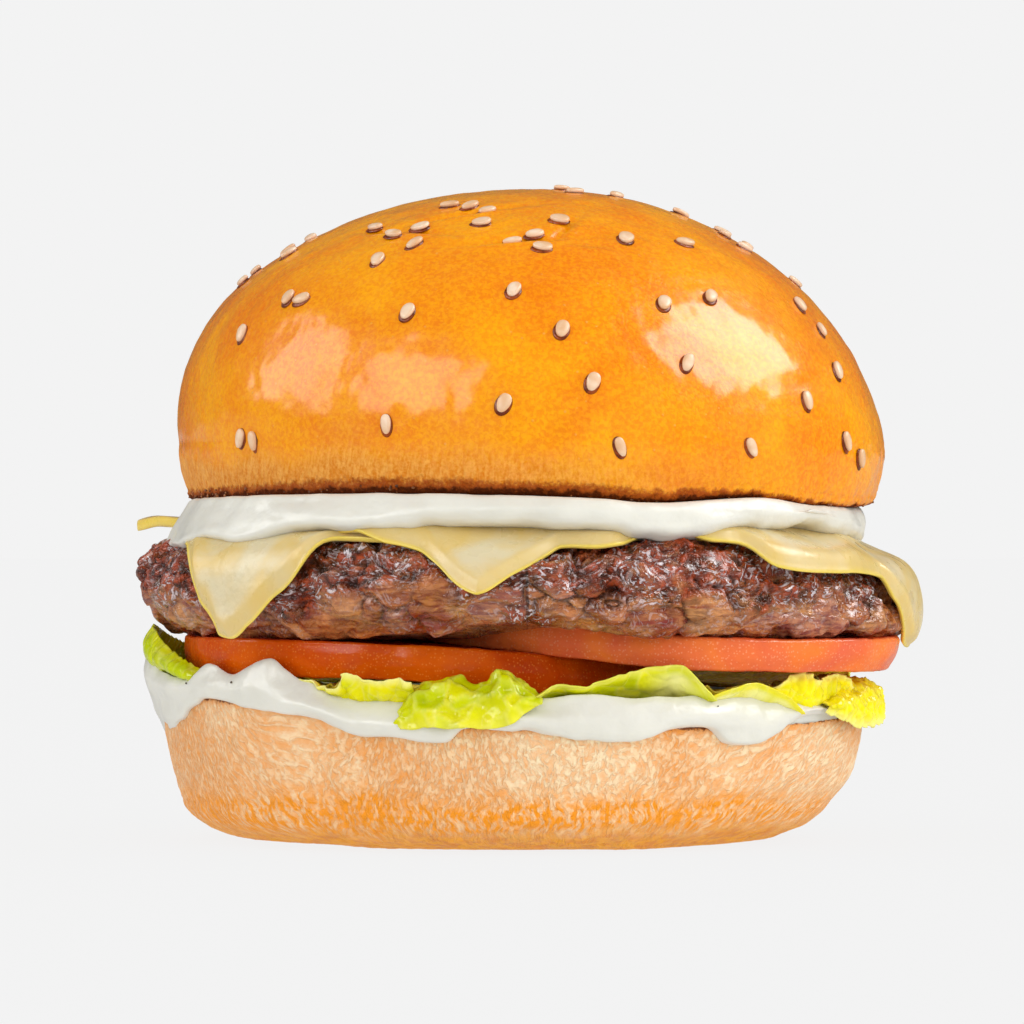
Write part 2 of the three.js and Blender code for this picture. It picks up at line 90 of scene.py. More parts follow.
def smooth(start: float, end: float, x: Array) -> Array:
    """0 before start and 1 after end, with the cubic 3t^2 - 2t^3 between."""
    t = np.clip((x - start) / (end - start), 0.0, 1.0)
    return t * t * (3.0 - 2.0 * t)


def bell(x: Array, middle: float, width: float) -> Array:
    """A Gaussian hump of height 1."""
    return np.exp(-(((x - middle) / width) ** 2))


def through(at: Sequence[float], values: Sequence[Any], x: Array) -> Array:
    """Reads a smooth curve through stations.

    Between two stations it is the cubic whose slope at a station is that of the line between its
    two neighbours.  Past the ends it keeps the end values.

    Args:
        at: Places of the stations, rising.
        values: A value or an array at each station.
        x: Places to read.

    Returns:
        The curve's values at x.
    """
    last = len(at) - 1

    def slope(k: int) -> Any:
        """Slope between the neighbours of station k."""
        before, after = max(k - 1, 0), min(k + 1, last)
        return (values[after] - values[before]) / (at[after] - at[before])

    result = values[0] + 0.0 * x
    for k in range(last):
        width = at[k + 1] - at[k]
        t = np.clip((x - at[k]) / width, 0.0, 1.0)
        bend = t * (1.0 - t) * ((1.0 - t) * slope(k) - t * slope(k + 1)) * width
        cubic = mix(values[k], values[k + 1], t * t * (3.0 - 2.0 * t)) + bend
        result = np.where(x > at[k], cubic, result)
    return result


@dataclass(frozen=True)
class Loop:
    """A value that changes smoothly round the burger, through (degrees, value) stations."""

    stations: tuple[tuple[float, float], ...]

    def __call__(self, azimuth: Array) -> Array:
        """The value at each azimuth, in radians.

        Args:
            azimuth: In radians.

        Returns:
            The smooth curve through the stations, read there, going round past 180 degrees.
        """
        ends = self.stations[-2:], self.stations[:2]
        before = [(a - 360.0, v) for a, v in ends[0]]
        after = [(a + 360.0, v) for a, v in ends[1]]
        at, values = zip(*before, *self.stations, *after)
        return through(at, values, (np.degrees(azimuth) + 180.0) % 360.0 - 180.0)


@dataclass(frozen=True)
class Ripple:
    """A sum of waves round the burger, each (waves, size, phase in degrees)."""

    waves: tuple[Triple, ...]

    def __call__(self, azimuth: Array) -> Array:
        """The sum at each azimuth, in radians."""
        return sum(size * np.cos(n * azimuth - math.radians(phase)) for n, size, phase in self.waves)


# ------------------------------------------------------------------ noise
def scatter(corner: Array, seed: int) -> Array:
    """A repeatable random number from 0 to 1 for each whole-numbered corner, by integer hashing.

    Args:
        corner: Whole-numbered places as (..., 3).
        seed: Chooses the numbers.

    Returns:
        The three coordinates, each times a large odd number, added up and scrambled by shifts.
    """
    n = corner.astype(np.int64).astype(np.uint32)
    mixed = n[..., 0] * np.uint32(374761393) + n[..., 1] * np.uint32(668265263)
    mixed = mixed + n[..., 2] * np.uint32(2246822519) + np.uint32((seed * 3266489917) % 2**32)
    mixed = (mixed ^ (mixed >> np.uint32(13))) * np.uint32(1274126177)
    return (mixed ^ (mixed >> np.uint32(16))).astype(float) / 2.0**32


def noise(points: Array, seed: int = 0) -> Array:
    """Value noise from -1 to 1: random numbers at the corners of a unit lattice, eased between.

    Args:
        points: Places to read, in lattice steps.
        seed: Chooses the numbers.

    Returns:
        The corners' numbers weighed by 6t^5 - 15t^4 + 10t^3 along each axis.
    """
    base = np.floor(points)
    part = points - base
    part = part * part * part * (part * (part * 6.0 - 15.0) + 10.0)
    total = 0.0
    for corner in np.ndindex(2, 2, 2):
        weight = np.prod(np.where(np.array(corner), part, 1.0 - part), axis=-1)
        total = total + weight * scatter(base + corner, seed)
    return 2.0 * total - 1.0


def fractal(points: Array, octaves: int, seed: int = 0) -> Array:
    """Octaves of noise, each twice as fine and half as strong as the one before."""
    return sum(noise(points * 2.0**k, seed + k) / 2.0**k for k in range(octaves))


@dataclass(frozen=True)
class Texture:
    """Lumps of several sizes: a sum of fractal noises, each (height, size, octaves, seed)."""

    layers: tuple[tuple[float, Any, int, int], ...]

    def __call__(self, points: Array) -> Array:
        """The sum at each point, a size being one number or one for each axis."""
        return sum(high * fractal(points / np.array(size), n, seed) for high, size, n, seed in self.layers)


def cells(points: Array, seed: int = 0) -> tuple[Array, Array, Array]:
    """Cell noise round one random point in each cube of a unit lattice.

    Args:
        points: Places to read, in cells.
        seed: Chooses the random points.

    Returns:
        Distance to the nearest point, to the second nearest, and the nearest one's random number.
    """
    base = np.floor(points)
    first = np.full(points.shape[:-1], 9.0)
    second = first.copy()
    label = np.zeros_like(first)
    for corner in np.ndindex(3, 3, 3):
        cell = base + corner - 1.0
        jitter = np.stack([scatter(cell, seed + k) for k in range(3)], axis=-1)
        away = np.linalg.norm(cell + jitter - points, axis=-1)
        nearer = away < first
        second = np.where(nearer, first, np.minimum(second, away))
        label = np.where(nearer, scatter(cell, seed + 3), label)
        first = np.where(nearer, away, first)
    return first, second, label


# ------------------------------------------------------------------ surfaces
@dataclass
class Surface:
    """Corners in millimetres, the faces between them, and named values at the corners."""

    points: Array
    quads: Array
    triangles: Array = field(default_factory=lambda: np.zeros((0, 3), int))
    values: dict[str, Array] = field(default_factory=dict)

    def mesh(self, name: str) -> bpy.types.Mesh:
        """Puts the surface into a smooth mesh, in metres.

        Args:
            name: The mesh's name.

        Returns:
            The mesh, with each named value as a point attribute.
        """
        mesh = bpy.data.meshes.new(name)
        corners = np.concatenate([self.quads.ravel(), self.triangles.ravel()]).astype(np.int32)
        sizes = np.repeat([4, 3], [len(self.quads), len(self.triangles)]).astype(np.int32)
        starts = np.concatenate([[0], np.cumsum(sizes)[:-1]]).astype(np.int32)
        mesh.vertices.add(len(self.points))
        mesh.vertices.foreach_set("co", (self.points * MM).astype(np.float32).ravel())
        mesh.loops.add(len(corners))
        mesh.loops.foreach_set("vertex_index", corners)
        mesh.polygons.add(len(sizes))
        mesh.polygons.foreach_set("loop_start", starts)
        mesh.polygons.foreach_set("loop_total", sizes)
        mesh.polygons.foreach_set("use_smooth", np.ones(len(sizes), bool))
        for key, value in self.values.items():
            kind, slot = ("FLOAT_VECTOR", "vector") if value.ndim == 2 else ("FLOAT", "value")
            layer = mesh.attributes.new(key, kind, "POINT")
            layer.data.foreach_set(slot, value.astype(np.float32).ravel())
        mesh.update(calc_edges=True)
        mesh.validate()
        return mesh


def joined(parts: Sequence[Surface]) -> Surface:
    """Several surfaces as one, with their common values.

    Args:
        parts: The surfaces, which hold the same named values.

    Returns:
        One surface, with the faces' corners counted on from part to part.
    """
    starts = np.cumsum([0] + [len(part.points) for part in parts[:-1]])
    return Surface(
        np.concatenate([part.points for part in parts]),
        np.concatenate([part.quads + start for part, start in zip(parts, starts)]),
        np.concatenate([part.triangles + start for part, start in zip(parts, starts)]),
        {key: np.concatenate([part.values[key] for part in parts]) for key in parts[0].values},
    )


def around(radius: Array, azimuth: Array, z: Array) -> Array:
    """Points at a radius, azimuth and height: (r sin a, -r cos a, z)."""
    return np.stack(np.broadcast_arrays(radius * np.sin(azimuth), -radius * np.cos(azimuth), z), axis=-1)


def azimuths(steps: int) -> Array:
    """Equal steps of azimuth round the burger."""
    return np.arange(steps) * 2.0 * math.pi / steps


def unit(vectors: Array) -> Array:
    """The vectors at length 1."""
    return vectors / np.maximum(np.linalg.norm(vectors, axis=-1, keepdims=True), 1e-9)


def looks(grid: Array, closed: bool) -> Array:
    """Unit normals of a grid of points: steps along its columns crossed with steps up its rows.

    Args:
        grid: Points as (rows, columns, 3).
        closed: Whether the last column meets the first.

    Returns:
        The way that each point of the grid looks.
    """
    if closed:
        along = np.roll(grid, -1, axis=1) - np.roll(grid, 1, axis=1)
    else:
        along = np.gradient(grid, axis=1)
    return unit(np.cross(along, np.gradient(grid, axis=0)))


def lifted(grid: Array, amount: Array) -> Array:
    """A turned grid of points, moved along its normals."""
    return grid + looks(grid, True) * amount[..., None]


def between(count: int, start: tuple[float, float], end: tuple[float, float]) -> Array:
    """A share for each row of a grid that keeps a surface's hidden rows even.

    Args:
        count: Rows of the grid.
        start: Rows at which the share leaves 0 and reaches 1, counted from the first.
        end: The same at the other end, counted back from the number of rows.

    Returns:
        A column of shares from 0 to 1.
    """
    order = np.arange(count)[:, None]
    return smooth(*start, order) * smooth(count - end[0], count - end[1], order)


def turned(rows: Sequence[tuple[Any, Any]], azimuth: Array, x: float = 0.0, y: float = 0.0) -> Array:
    """A grid turned round the axis through (x, y).

    Args:
        rows: Radius and height of each row, from the pole below to the pole above, as numbers or
            as values at each azimuth.
        azimuth: Azimuths of the columns.
        x: The axis' place.
        y: The axis' place.

    Returns:
        Points as (rows, columns, 3).
    """
    radius = np.stack([np.broadcast_to(r, azimuth.shape) for r, _ in rows])
    height = np.stack([np.broadcast_to(z, azimuth.shape) for _, z in rows])
    return around(radius, azimuth, height) + np.array([x, y, 0.0])


def round_surface(grid: Array, **values: Array) -> Surface:
    """Closes a turned grid: a fan of triangles at each pole and quads between them.

    Args:
        grid: Points as (rows, columns, 3); the first and the last row are each one point.
        values: Named values at the grid's points.

    Returns:
        The closed surface.
    """
    steps = grid.shape[1]

    def listed(value: Array) -> Array:
        """One value for each pole, then those of the rows between."""
        poles = value[[0, -1]].mean(axis=1)
        return np.concatenate([poles, value[1:-1].reshape(-1, *value.shape[2:])])

    index = 2 + np.arange((len(grid) - 2) * steps).reshape(-1, steps)
    after = np.roll(index, -1, axis=1)
    quads = np.stack([index[:-1], after[:-1], after[1:], index[1:]], axis=-1).reshape(-1, 4)
    below = np.stack([0 * index[0], after[0], index[0]], axis=-1)
    above = np.stack([0 * index[0] + 1, index[-1], after[-1]], axis=-1)
    named = {key: listed(value) for key, value in values.items()}
    return Surface(listed(grid), quads, np.concatenate([below, above]), named)


def sheet_surface(upper: Array, lower: Array, **values: Array) -> Surface:
    """Closes two grids into a sheet: quads on both faces and round the four edges.

    Args:
        upper: Points of the face that first axis cross second axis points out of.
        lower: Points of the other face.
        values: Named numbers, the same on both faces.

    Returns:
        The closed sheet.
    """
    across, along = upper.shape[:2]
    top = np.arange(across * along).reshape(across, along)
    low = top + across * along

    def strip(a: Array, b: Array) -> Array:
        """Quads between two lines of corners."""
        return np.stack([a[:-1], a[1:], b[1:], b[:-1]], axis=-1)

    faces = [
        np.stack([top[:-1, :-1], top[1:, :-1], top[1:, 1:], top[:-1, 1:]], axis=-1).reshape(-1, 4),
        np.stack([low[:-1, :-1], low[:-1, 1:], low[1:, 1:], low[1:, :-1]], axis=-1).reshape(-1, 4),
        strip(low[:, 0], top[:, 0]), strip(top[:, -1], low[:, -1]),
        strip(top[0], low[0]), strip(low[-1], top[-1]),
    ]
    points = np.concatenate([upper.reshape(-1, 3), lower.reshape(-1, 3)])
    named = {key: np.tile(value.ravel(), 2) for key, value in values.items()}
    return Surface(points, np.concatenate(faces), values=named)


def curve_rows(
    rows: Sequence[tuple[Any, Any]], counts: Sequence[int], steps: int
) -> list[tuple[Array, Array]]:
    """Fills in rows between a few given ones along the smooth curve through them.

    Args:
        rows: Radius and height of the given rows.
        counts: Rows to make for each span between two of them.
        steps: Steps of azimuth.

    Returns:
        All rows, the given ones among them.
    """
    radius = [np.broadcast_to(r, steps).astype(float) for r, _ in rows]
    height = [np.broadcast_to(z, steps).astype(float) for _, z in rows]
    pairs = zip(radius, radius[1:], height, height[1:])
    spans = [math.sqrt(np.hypot(b - a, d - c).mean()) for a, b, c, d in pairs]
    at = np.concatenate([[0.0], np.cumsum(spans)])
    fine = [mix(a, b, k / n) for a, b, n in zip(at, at[1:], counts) for k in range(n)] + [at[-1]]
    return [(through(at, radius, np.full(steps, x)), through(at, height, np.full(steps, x))) for x in fine]


# ------------------------------------------------------------------ shader graphs
def srgb(red: float, green: float, blue: float) -> Colour:
    """A colour given as screen values from 0 to 255, as linear light.

    Args:
        red: From 0 to 255.
        green: From 0 to 255.
        blue: From 0 to 255.

    Returns:
        Each channel c as c / 12.92 where it is dark, else ((c + 0.055) / 1.055)^2.4, and 1.
    """
    channels = np.array([red, green, blue]) / 255.0
    linear = np.where(channels <= 0.04045, channels / 12.92, ((channels + 0.055) / 1.055) ** 2.4)
    return (*(float(c) for c in linear), 1.0)


class Graph:
    """Adds nodes to a node tree and links them."""

    def __init__(self, tree: bpy.types.NodeTree) -> None:
        """Keeps the tree."""
        self.tree = tree

    def node(self, kind: str, inputs: dict[Any, Any] | None = None, **settings: Any) -> bpy.types.Node:
        """Adds one node.

        Args:
            kind: The shader node's type, without its prefix.
            inputs: A socket or a value for each input, by name or place.
            settings: Properties of the node itself.

        Returns:
            The new node.
        """
        made = self.tree.nodes.new("ShaderNode" + kind)
        for key, value in settings.items():
            setattr(made, key, value)
        for key, value in (inputs or {}).items():
            if isinstance(value, bpy.types.NodeSocket):
                self.tree.links.new(value, made.inputs[key])
            else:
                made.inputs[key].default_value = value
        return made

    def math(self, operation: str, a: Any, b: Any = 0.0) -> Socket:
        """The result of one Math node."""
        return self.node("Math", {0: a, 1: b}, operation=operation).outputs[0]

    def plus(self, a: Any, b: Any) -> Socket:
        """The sum of two numbers."""
        return self.math("ADD", a, b)

    def minus(self, a: Any, b: Any) -> Socket:
        """The first number less the second."""
        return self.math("SUBTRACT", a, b)

    def times(self, a: Any, b: Any) -> Socket:
        """The product of two numbers."""
        return self.math("MULTIPLY", a, b)

    def larger(self, a: Any, b: Any) -> Socket:
        """The larger of two numbers."""
        return self.math("MAXIMUM", a, b)

    def blend(self, share: Any, low: Any, high: Any) -> Socket:
        """The colour a share of the way from low to high."""
        return self.node("Mix", {0: share, 6: low, 7: high}, data_type="RGBA").outputs[2]

    def ramp(self, value: Any, start: Any, end: Any, low: Any = 0.0, high: Any = 1.0) -> Socket:
        """Low before start, high after end, eased between."""
        sockets = {"Value": value, "From Min": start, "From Max": end, "To Min": low, "To Max": high}
        return self.node("MapRange", sockets, interpolation_type="SMOOTHSTEP").outputs[0]

    def noise(self, vector: Any, scale: Any, detail: float = 3.0, distortion: float = 0.0) -> Socket:
        """Noise from 0 to 1 at a scale in features to the millimetre."""
        sockets = {"Vector": vector, "Scale": scale, "Detail": detail, "Distortion": distortion}
        return self.node("TexNoise", sockets).outputs[0]

    def value(self, name: str) -> Socket:
        """A number that the mesh holds at its corners."""
        return self.node("Attribute", attribute_name=name).outputs["Fac"]

    def vector(self, name: str) -> Socket:
        """A vector that the mesh holds at its corners."""
        return self.node("Attribute", attribute_name=name).outputs["Vector"]

    def place(self) -> Socket:
        """The place on the object, in millimetres."""
        coordinates = self.node("TexCoord").outputs["Object"]
        return self.node("Mapping", {"Vector": coordinates, "Scale": (1 / MM,) * 3}).outputs[0]

    def bump(self, height: Any) -> Socket:
        """A normal from a height in millimetres."""
        return self.node("Bump", {"Height": height, "Strength": 1.0, "Distance": MM}).outputs[0]


class Effect(Enum):
    """Shader node groups that several finishes share."""

    MOTTLE = "mottle"
    RELIEF = "relief"
    SPECKS = "specks"
    FILM = "film"


class Effects:
    """Builds each shared node group once."""

    def __init__(self) -> None:
        """Builds the groups."""
        self.trees = {
            Effect.MOTTLE: self._mottle(),
            Effect.RELIEF: self._relief(),
            Effect.SPECKS: self._specks(),
            Effect.FILM: self._film(),
        }

    @staticmethod
    def _group(effect: Effect, takes: dict[str, str], gives: dict[str, str]) -> tuple[Graph, Any, Any]:
        """Starts a group.

        Args:
            effect: Which one.
            takes: Its inputs, each with its kind.
            gives: Its outputs, each with its kind.

        Returns:
            The group's graph, the sockets that its inputs come from and those its outputs go to.
        """
        tree = bpy.data.node_groups.new(effect.value, "ShaderNodeTree")
        for names, way in ((takes, "INPUT"), (gives, "OUTPUT")):
            for key, kind in names.items():
                tree.interface.new_socket(name=key, in_out=way, socket_type="NodeSocket" + kind)
        entry = tree.nodes.new("NodeGroupInput").outputs
        return Graph(tree), entry, tree.nodes.new("NodeGroupOutput").inputs

    def _mottle(self) -> bpy.types.NodeTree:
        """Two colours in patches, with a contrast from 0, soft, to 1, hard.

        Returns:
            The group.
        """
        takes = {"Vector": "Vector", "Scale": "Float", "Contrast": "Float", "Low": "Color", "High": "Color"}
        graph, entry, out = self._group(Effect.MOTTLE, takes, {"Color": "Color", "Mask": "Float"})
        value = graph.noise(entry["Vector"], entry["Scale"], 4.0, 0.6)
        half = graph.times(graph.minus(1.05, entry["Contrast"]), 0.35)
        mask = graph.ramp(value, graph.minus(0.5, half), graph.plus(0.5, half))
        graph.tree.links.new(graph.blend(mask, entry["Low"], entry["High"]), out["Color"])
        graph.tree.links.new(mask, out["Mask"])
        return graph.tree

    def _relief(self) -> bpy.types.NodeTree:
        """Coarse and fine bumps added up, heights in millimetres.

        Returns:
            The group.
        """
        takes = {
            "Vector": "Vector", "Coarse Scale": "Float", "Coarse Height": "Float",
            "Fine Scale": "Float", "Fine Height": "Float",
        }
        graph, entry, out = self._group(Effect.RELIEF, takes, {"Height": "Float"})
        coarse = graph.times(graph.noise(entry["Vector"], entry["Coarse Scale"]), entry["Coarse Height"])
        fine = graph.times(graph.noise(entry["Vector"], entry["Fine Scale"]), entry["Fine Height"])
        graph.tree.links.new(graph.plus(coarse, fine), out["Height"])
        return graph.tree

    def _specks(self) -> bpy.types.NodeTree:
        """Small round specks in a share of the cells of a Voronoi pattern.

        Returns:
            The group.
        """
        takes = {"Vector": "Vector", "Scale": "Float", "Size": "Float", "Share": "Float"}
        graph, entry, out = self._group(Effect.SPECKS, takes, {"Mask": "Float"})
        voronoi = graph.node("TexVoronoi", {"Vector": entry["Vector"], "Scale": entry["Scale"]}).outputs
        inner = graph.times(entry["Size"], 0.5)
        dot = graph.ramp(voronoi["Distance"], inner, entry["Size"], 1.0, 0.0)
        random = graph.node("SeparateColor", {0: voronoi["Color"]}).outputs[0]
        chosen = graph.math("LESS_THAN", random, entry["Share"])
        graph.tree.links.new(graph.times(dot, chosen), out["Mask"])
        return graph.tree

    def _film(self) -> bpy.types.NodeTree:
        """Roughness that wanders between a wet and a dry value.

        Returns:
            The group.
        """
        takes = {"Vector": "Vector", "Scale": "Float", "Wet": "Float", "Dry": "Float"}
        graph, entry, out = self._group(Effect.FILM, takes, {"Roughness": "Float"})
        patch = graph.noise(entry["Vector"], entry["Scale"])
        roughness = graph.ramp(patch, 0.35, 0.65, entry["Wet"], entry["Dry"])
        graph.tree.links.new(roughness, out["Roughness"])
        return graph.tree


class Paint(Graph):
    """A material's graph, with the shared node groups at hand."""

    def __init__(self, tree: bpy.types.NodeTree, effects: Effects) -> None:
        """Keeps the tree and the groups."""
        super().__init__(tree)
        self.effects = effects

    def group(self, effect: Effect, vector: Any, **inputs: Any) -> Any:
        """Places a shared group.

        Args:
            effect: Which group.
            vector: The places at which it reads its pattern.
            inputs: A socket or a value for each other input, by its name in small letters.

        Returns:
            The outputs of the group.
        """
        sockets = {key.replace("_", " ").title(): value for key, value in inputs.items()}
        sockets["Vector"] = vector
        return self.node("Group", sockets, node_tree=self.effects.trees[effect]).outputs

    def mottle(self, vector: Any, **inputs: Any) -> Socket:
        """Two colours in patches: scale, contrast, low and high."""
        return self.group(Effect.MOTTLE, vector, **inputs)["Color"]

    def relief(self, vector: Any, **inputs: Any) -> Socket:
        """Bumps in millimetres: coarse_scale, coarse_height, fine_scale and fine_height."""
        return self.group(Effect.RELIEF, vector, **inputs)["Height"]

    def specks(self, vector: Any, **inputs: Any) -> Socket:
        """Where small round specks are: scale, size and share."""
        return self.group(Effect.SPECKS, vector, **inputs)["Mask"]

    def film(self, vector: Any, **inputs: Any) -> Socket:
        """Roughness that wanders: scale, wet and dry."""
        return self.group(Effect.FILM, vector, **inputs)["Roughness"]


# ------------------------------------------------------------------ finishes
@dataclass(frozen=True)
class Finish(ABC):
    """A food's look: its Principled shader's constant values, and a graph that varies the rest."""

    name: str = ""
    specular: float = 0.5
    coat_roughness: float = 0.1
    scatter: float = 0.0  # subsurface weight
    depth: Triple = (1.0, 0.6, 0.4)  # how far light passes into it, in millimetres
    ior: float = 1.45
    film: Triple = (1.0, 0.3, 0.5)  # scale of its patches, wet and dry roughness
    bumps: tuple[float, float, float, float] = (1.0, 0.1, 4.0, 0.02)  # scale and height, coarse and fine
    coat: tuple[float, ...] = ()  # scale of its patches, start and end of their edge, least and most

    def material(self, effects: Effects) -> bpy.types.Material:
        """Makes the material.

        Args:
            effects: The shared node groups.

        Returns:
            A material whose Principled shader stays in the material itself.
        """
        made = bpy.data.materials.new(self.name)
        made.use_nodes = True
        graph = Paint(made.node_tree, effects)
        shader = made.node_tree.nodes["Principled BSDF"]
        shader.subsurface_method = "RANDOM_WALK"
        shader.inputs["Specular IOR Level"].default_value = self.specular
        shader.inputs["Coat Roughness"].default_value = self.coat_roughness
        shader.inputs["Subsurface Weight"].default_value = self.scatter
        shader.inputs["Subsurface Radius"].default_value = self.depth
        shader.inputs["Subsurface Scale"].default_value = MM
        shader.inputs["IOR"].default_value = self.ior
        for key, value in self.sockets(graph).items():
            graph.tree.links.new(value, shader.inputs[key])
        return made

    def sockets(self, graph: Paint) -> dict[str, Socket]:
        """What varies over the surface.

        Args:
            graph: The material's graph.

        Returns:
            A socket for each input of the Principled shader, by name.
        """
        place = graph.place()
        varied = {
            "Base Color": self.colour(graph, place),
            "Roughness": self.roughness(graph, place),
            "Coat Weight": self.coating(graph, place),
            "Normal": graph.bump(self.height(graph, place)),
        }
        return {key: value for key, value in varied.items() if value is not None}

    @abstractmethod
    def colour(self, graph: Paint, place: Socket) -> Socket:
        """The colour, from the graph and the places on the object."""

    def roughness(self, graph: Paint, place: Socket) -> Socket:
        """A film in patches from wet to dry."""
        scale, wet, dry = self.film
        return graph.film(place, scale=scale, wet=wet, dry=dry)

    def coating(self, graph: Paint, place: Socket) -> Socket | None:
        """Patches of coat.

        Args:
            graph: The material's graph.
            place: Places on the object.

        Returns:
            The coat's weight, or nothing where the food has none.
        """
        if not self.coat:
            return None
        scale, start, end, least, most = self.coat
        return graph.ramp(graph.noise(place, scale), start, end, least, most)

    def height(self, graph: Paint, place: Socket) -> Socket:
        """Coarse and fine bumps, in millimetres."""
        keys = "coarse_scale", "coarse_height", "fine_scale", "fine_height"
        return graph.relief(place, **dict(zip(keys, self.bumps)))


@dataclass(frozen=True)
class CrownCrust(Finish):
    """Egg-washed crust: golden with deeper patches, tan and fibrous low down, toasted at the cut, with
    painted shade in its darkest lowest line, where it meets the sauce.
    """

    name: str = "crown_crust"
    specular: float = 0.05
    coat_roughness: float = 0.16
    scatter: float = 0.06
    depth: Triple = (1.6, 0.6, 0.1)
    film: Triple = (0.25, 0.2, 0.34)
    bumps: tuple[float, float, float, float] = (0.35, 0.3, 1.9, 0.12)
    egg_wash: float = 0.58  # the coat's weight on the dome
    golden: Colour = srgb(255, 174, 0)
    deep: Colour = srgb(236, 120, 0)
    tan: Colour = srgb(216, 124, 28)
    cream: Colour = srgb(246, 180, 90)
    toasted: Colour = srgb(160, 68, 18)
    # Partly burnt crust, partly painted shade along the seam with the sauce.
    burnt_and_shaded: Colour = srgb(74, 28, 8)

    @staticmethod
    def bubbles(graph: Paint, place: Socket) -> Socket:
        """Small blisters of the glaze."""
        return graph.specks(place, scale=0.62, size=0.16, share=0.35)

    def colour(self, graph: Paint, place: Socket) -> Socket:
        """Golden patches with a fine stipple, tan lower band with pale ticks, and a toasted rim whose
        darkest lowest line is partly painted shade.

        Args:
            graph: The material's graph.
            place: Places on the object.

        Returns:
            The colour.
        """
        golden = graph.mottle(place, scale=0.06, contrast=0.45, low=self.deep, high=self.golden)
        stipple = graph.mottle(place, scale=1.7, contrast=0.6, low=self.deep, high=self.golden)
        ticks = graph.mottle(graph.vector("grain"), scale=1.7, contrast=0.6, low=self.tan, high=self.cream)
        fuzz = graph.mottle(place, scale=2.2, contrast=0.5, low=self.tan, high=self.cream)
        crust = graph.blend(0.5, golden, stipple)
        crust = graph.blend(graph.value("low"), crust, graph.blend(0.45, ticks, fuzz))
        crust = graph.blend(graph.times(self.bubbles(graph, place), 0.4), crust, self.cream)
        grit = graph.times(graph.minus(graph.noise(place, 2.0), 0.5), 0.7)
        toasting = graph.plus(graph.value("cut"), grit)
        crust = graph.blend(graph.ramp(toasting, 0.1, 0.6, 0.0, 0.9), crust, self.toasted)
        # Near black along the lowest part of the cut rim: char and painted shade.
        return graph.blend(graph.ramp(toasting, 0.6, 1.0, 0.0, 0.9), crust, self.burnt_and_shaded)

    def roughness(self, graph: Paint, place: Socket) -> Socket:
        """The film, duller low down and at the cut."""
        dull = graph.larger(graph.times(graph.value("low"), 0.45), graph.times(graph.value("cut"), 0.8))
        return graph.larger(super().roughness(graph, place), dull)

    def coating(self, graph: Paint, place: Socket) -> Socket:
        """Egg wash, fading out low down and towards the cut."""
        bare = graph.larger(graph.value("low"), graph.value("cut"))
        return graph.ramp(bare, 0.0, 0.7, self.egg_wash, 0.0)

    def height(self, graph: Paint, place: Socket) -> Socket:
        """Bumps of the skin, folds along the grain low down, blisters, and crumb at the cut.

        Args:
            graph: The material's graph.
            place: Places on the object.

        Returns:
            The height in millimetres.
        """
        folds = graph.times(graph.noise(graph.vector("grain"), 1.3), graph.value("low"))
        crumb = graph.times(graph.noise(place, 2.2), graph.value("cut"))
        height = graph.plus(super().height(graph, place), graph.times(folds, 0.35))
        height = graph.plus(height, graph.times(self.bubbles(graph, place), 0.06))
        return graph.plus(height, graph.times(crumb, 0.8))


@dataclass(frozen=True)
class HeelCrust(Finish):
    """Pale bun side: cream with short orange wrinkles, browner at the foot and at the cut rim."""

    name: str = "heel_crust"
    specular: float = 0.35
    coat_roughness: float = 0.35
    scatter: float = 0.06
    depth: Triple = (1.4, 0.8, 0.4)
    film: Triple = (0.5, 0.42, 0.62)
    bumps: tuple[float, float, float, float] = (0.5, 0.3, 2.2, 0.16)
    coat: tuple[float, ...] = (0.3, 0.4, 0.7, 0.0, 0.12)
    fold: float = 0.14  # height of the streaks, in millimetres
    cream: Colour = srgb(255, 232, 190)
    orange: Colour = srgb(242, 156, 70)
    amber: Colour = srgb(255, 156, 14)
    brown: Colour = srgb(120, 56, 22)
    foot: Colour = srgb(255, 168, 20)
    crease: Colour = srgb(240, 146, 44)

    def streaks(self, graph: Paint) -> Any:
        """Short streaks along the grain, as the outputs Color and Mask."""
        return graph.group(
            Effect.MOTTLE, graph.vector("grain"), scale=1.5, contrast=0.75, low=self.orange, high=self.cream
        )

    def colour(self, graph: Paint, place: Socket) -> Socket:
        """Short streaks along the grain over broad patches, an amber band, brown at rim and foot.

        Args:
            graph: The material's graph.
            place: Places on the object.

        Returns:
            The colour.
        """
        grain = graph.vector("grain")
        fine = graph.mottle(place, scale=1.15, contrast=0.4, low=self.orange, high=self.cream)
        patches = graph.mottle(place, scale=0.07, contrast=0.5, low=self.orange, high=self.cream)
        crust = graph.blend(0.35, graph.blend(0.35, self.streaks(graph)["Color"], fine), patches)
        line = graph.math("ABSOLUTE", graph.minus(graph.noise(grain, 0.42, 3.0, 0.6), 0.5))
        crust = graph.blend(graph.ramp(line, 0.0, 0.03, 0.25, 0.0), crust, self.crease)
        flecks = graph.ramp(graph.noise(grain, 1.3), 0.4, 0.58, 0.3, 1.0)
        crust = graph.blend(graph.times(graph.value("band"), flecks), crust, self.amber)
        base = graph.blend(graph.ramp(graph.noise(place, 0.6), 0.35, 0.6), self.crease, self.foot)
        crust = graph.blend(graph.value("base"), crust, base)
        crust = graph.blend(graph.ramp(graph.value("cut"), 0.0, 0.8, 0.0, 0.6), crust, self.crease)
        ragged = graph.ramp(graph.plus(graph.value("cut"), graph.noise(place, 1.3)), 1.15, 1.4)
        return graph.blend(graph.times(ragged, 0.9), crust, self.brown)

    def height(self, graph: Paint, place: Socket) -> Socket:
        """The streaks stand a little above the bumps of the skin."""
        folds = graph.times(self.streaks(graph)["Mask"], self.fold)
        return graph.plus(folds, super().height(graph, place))


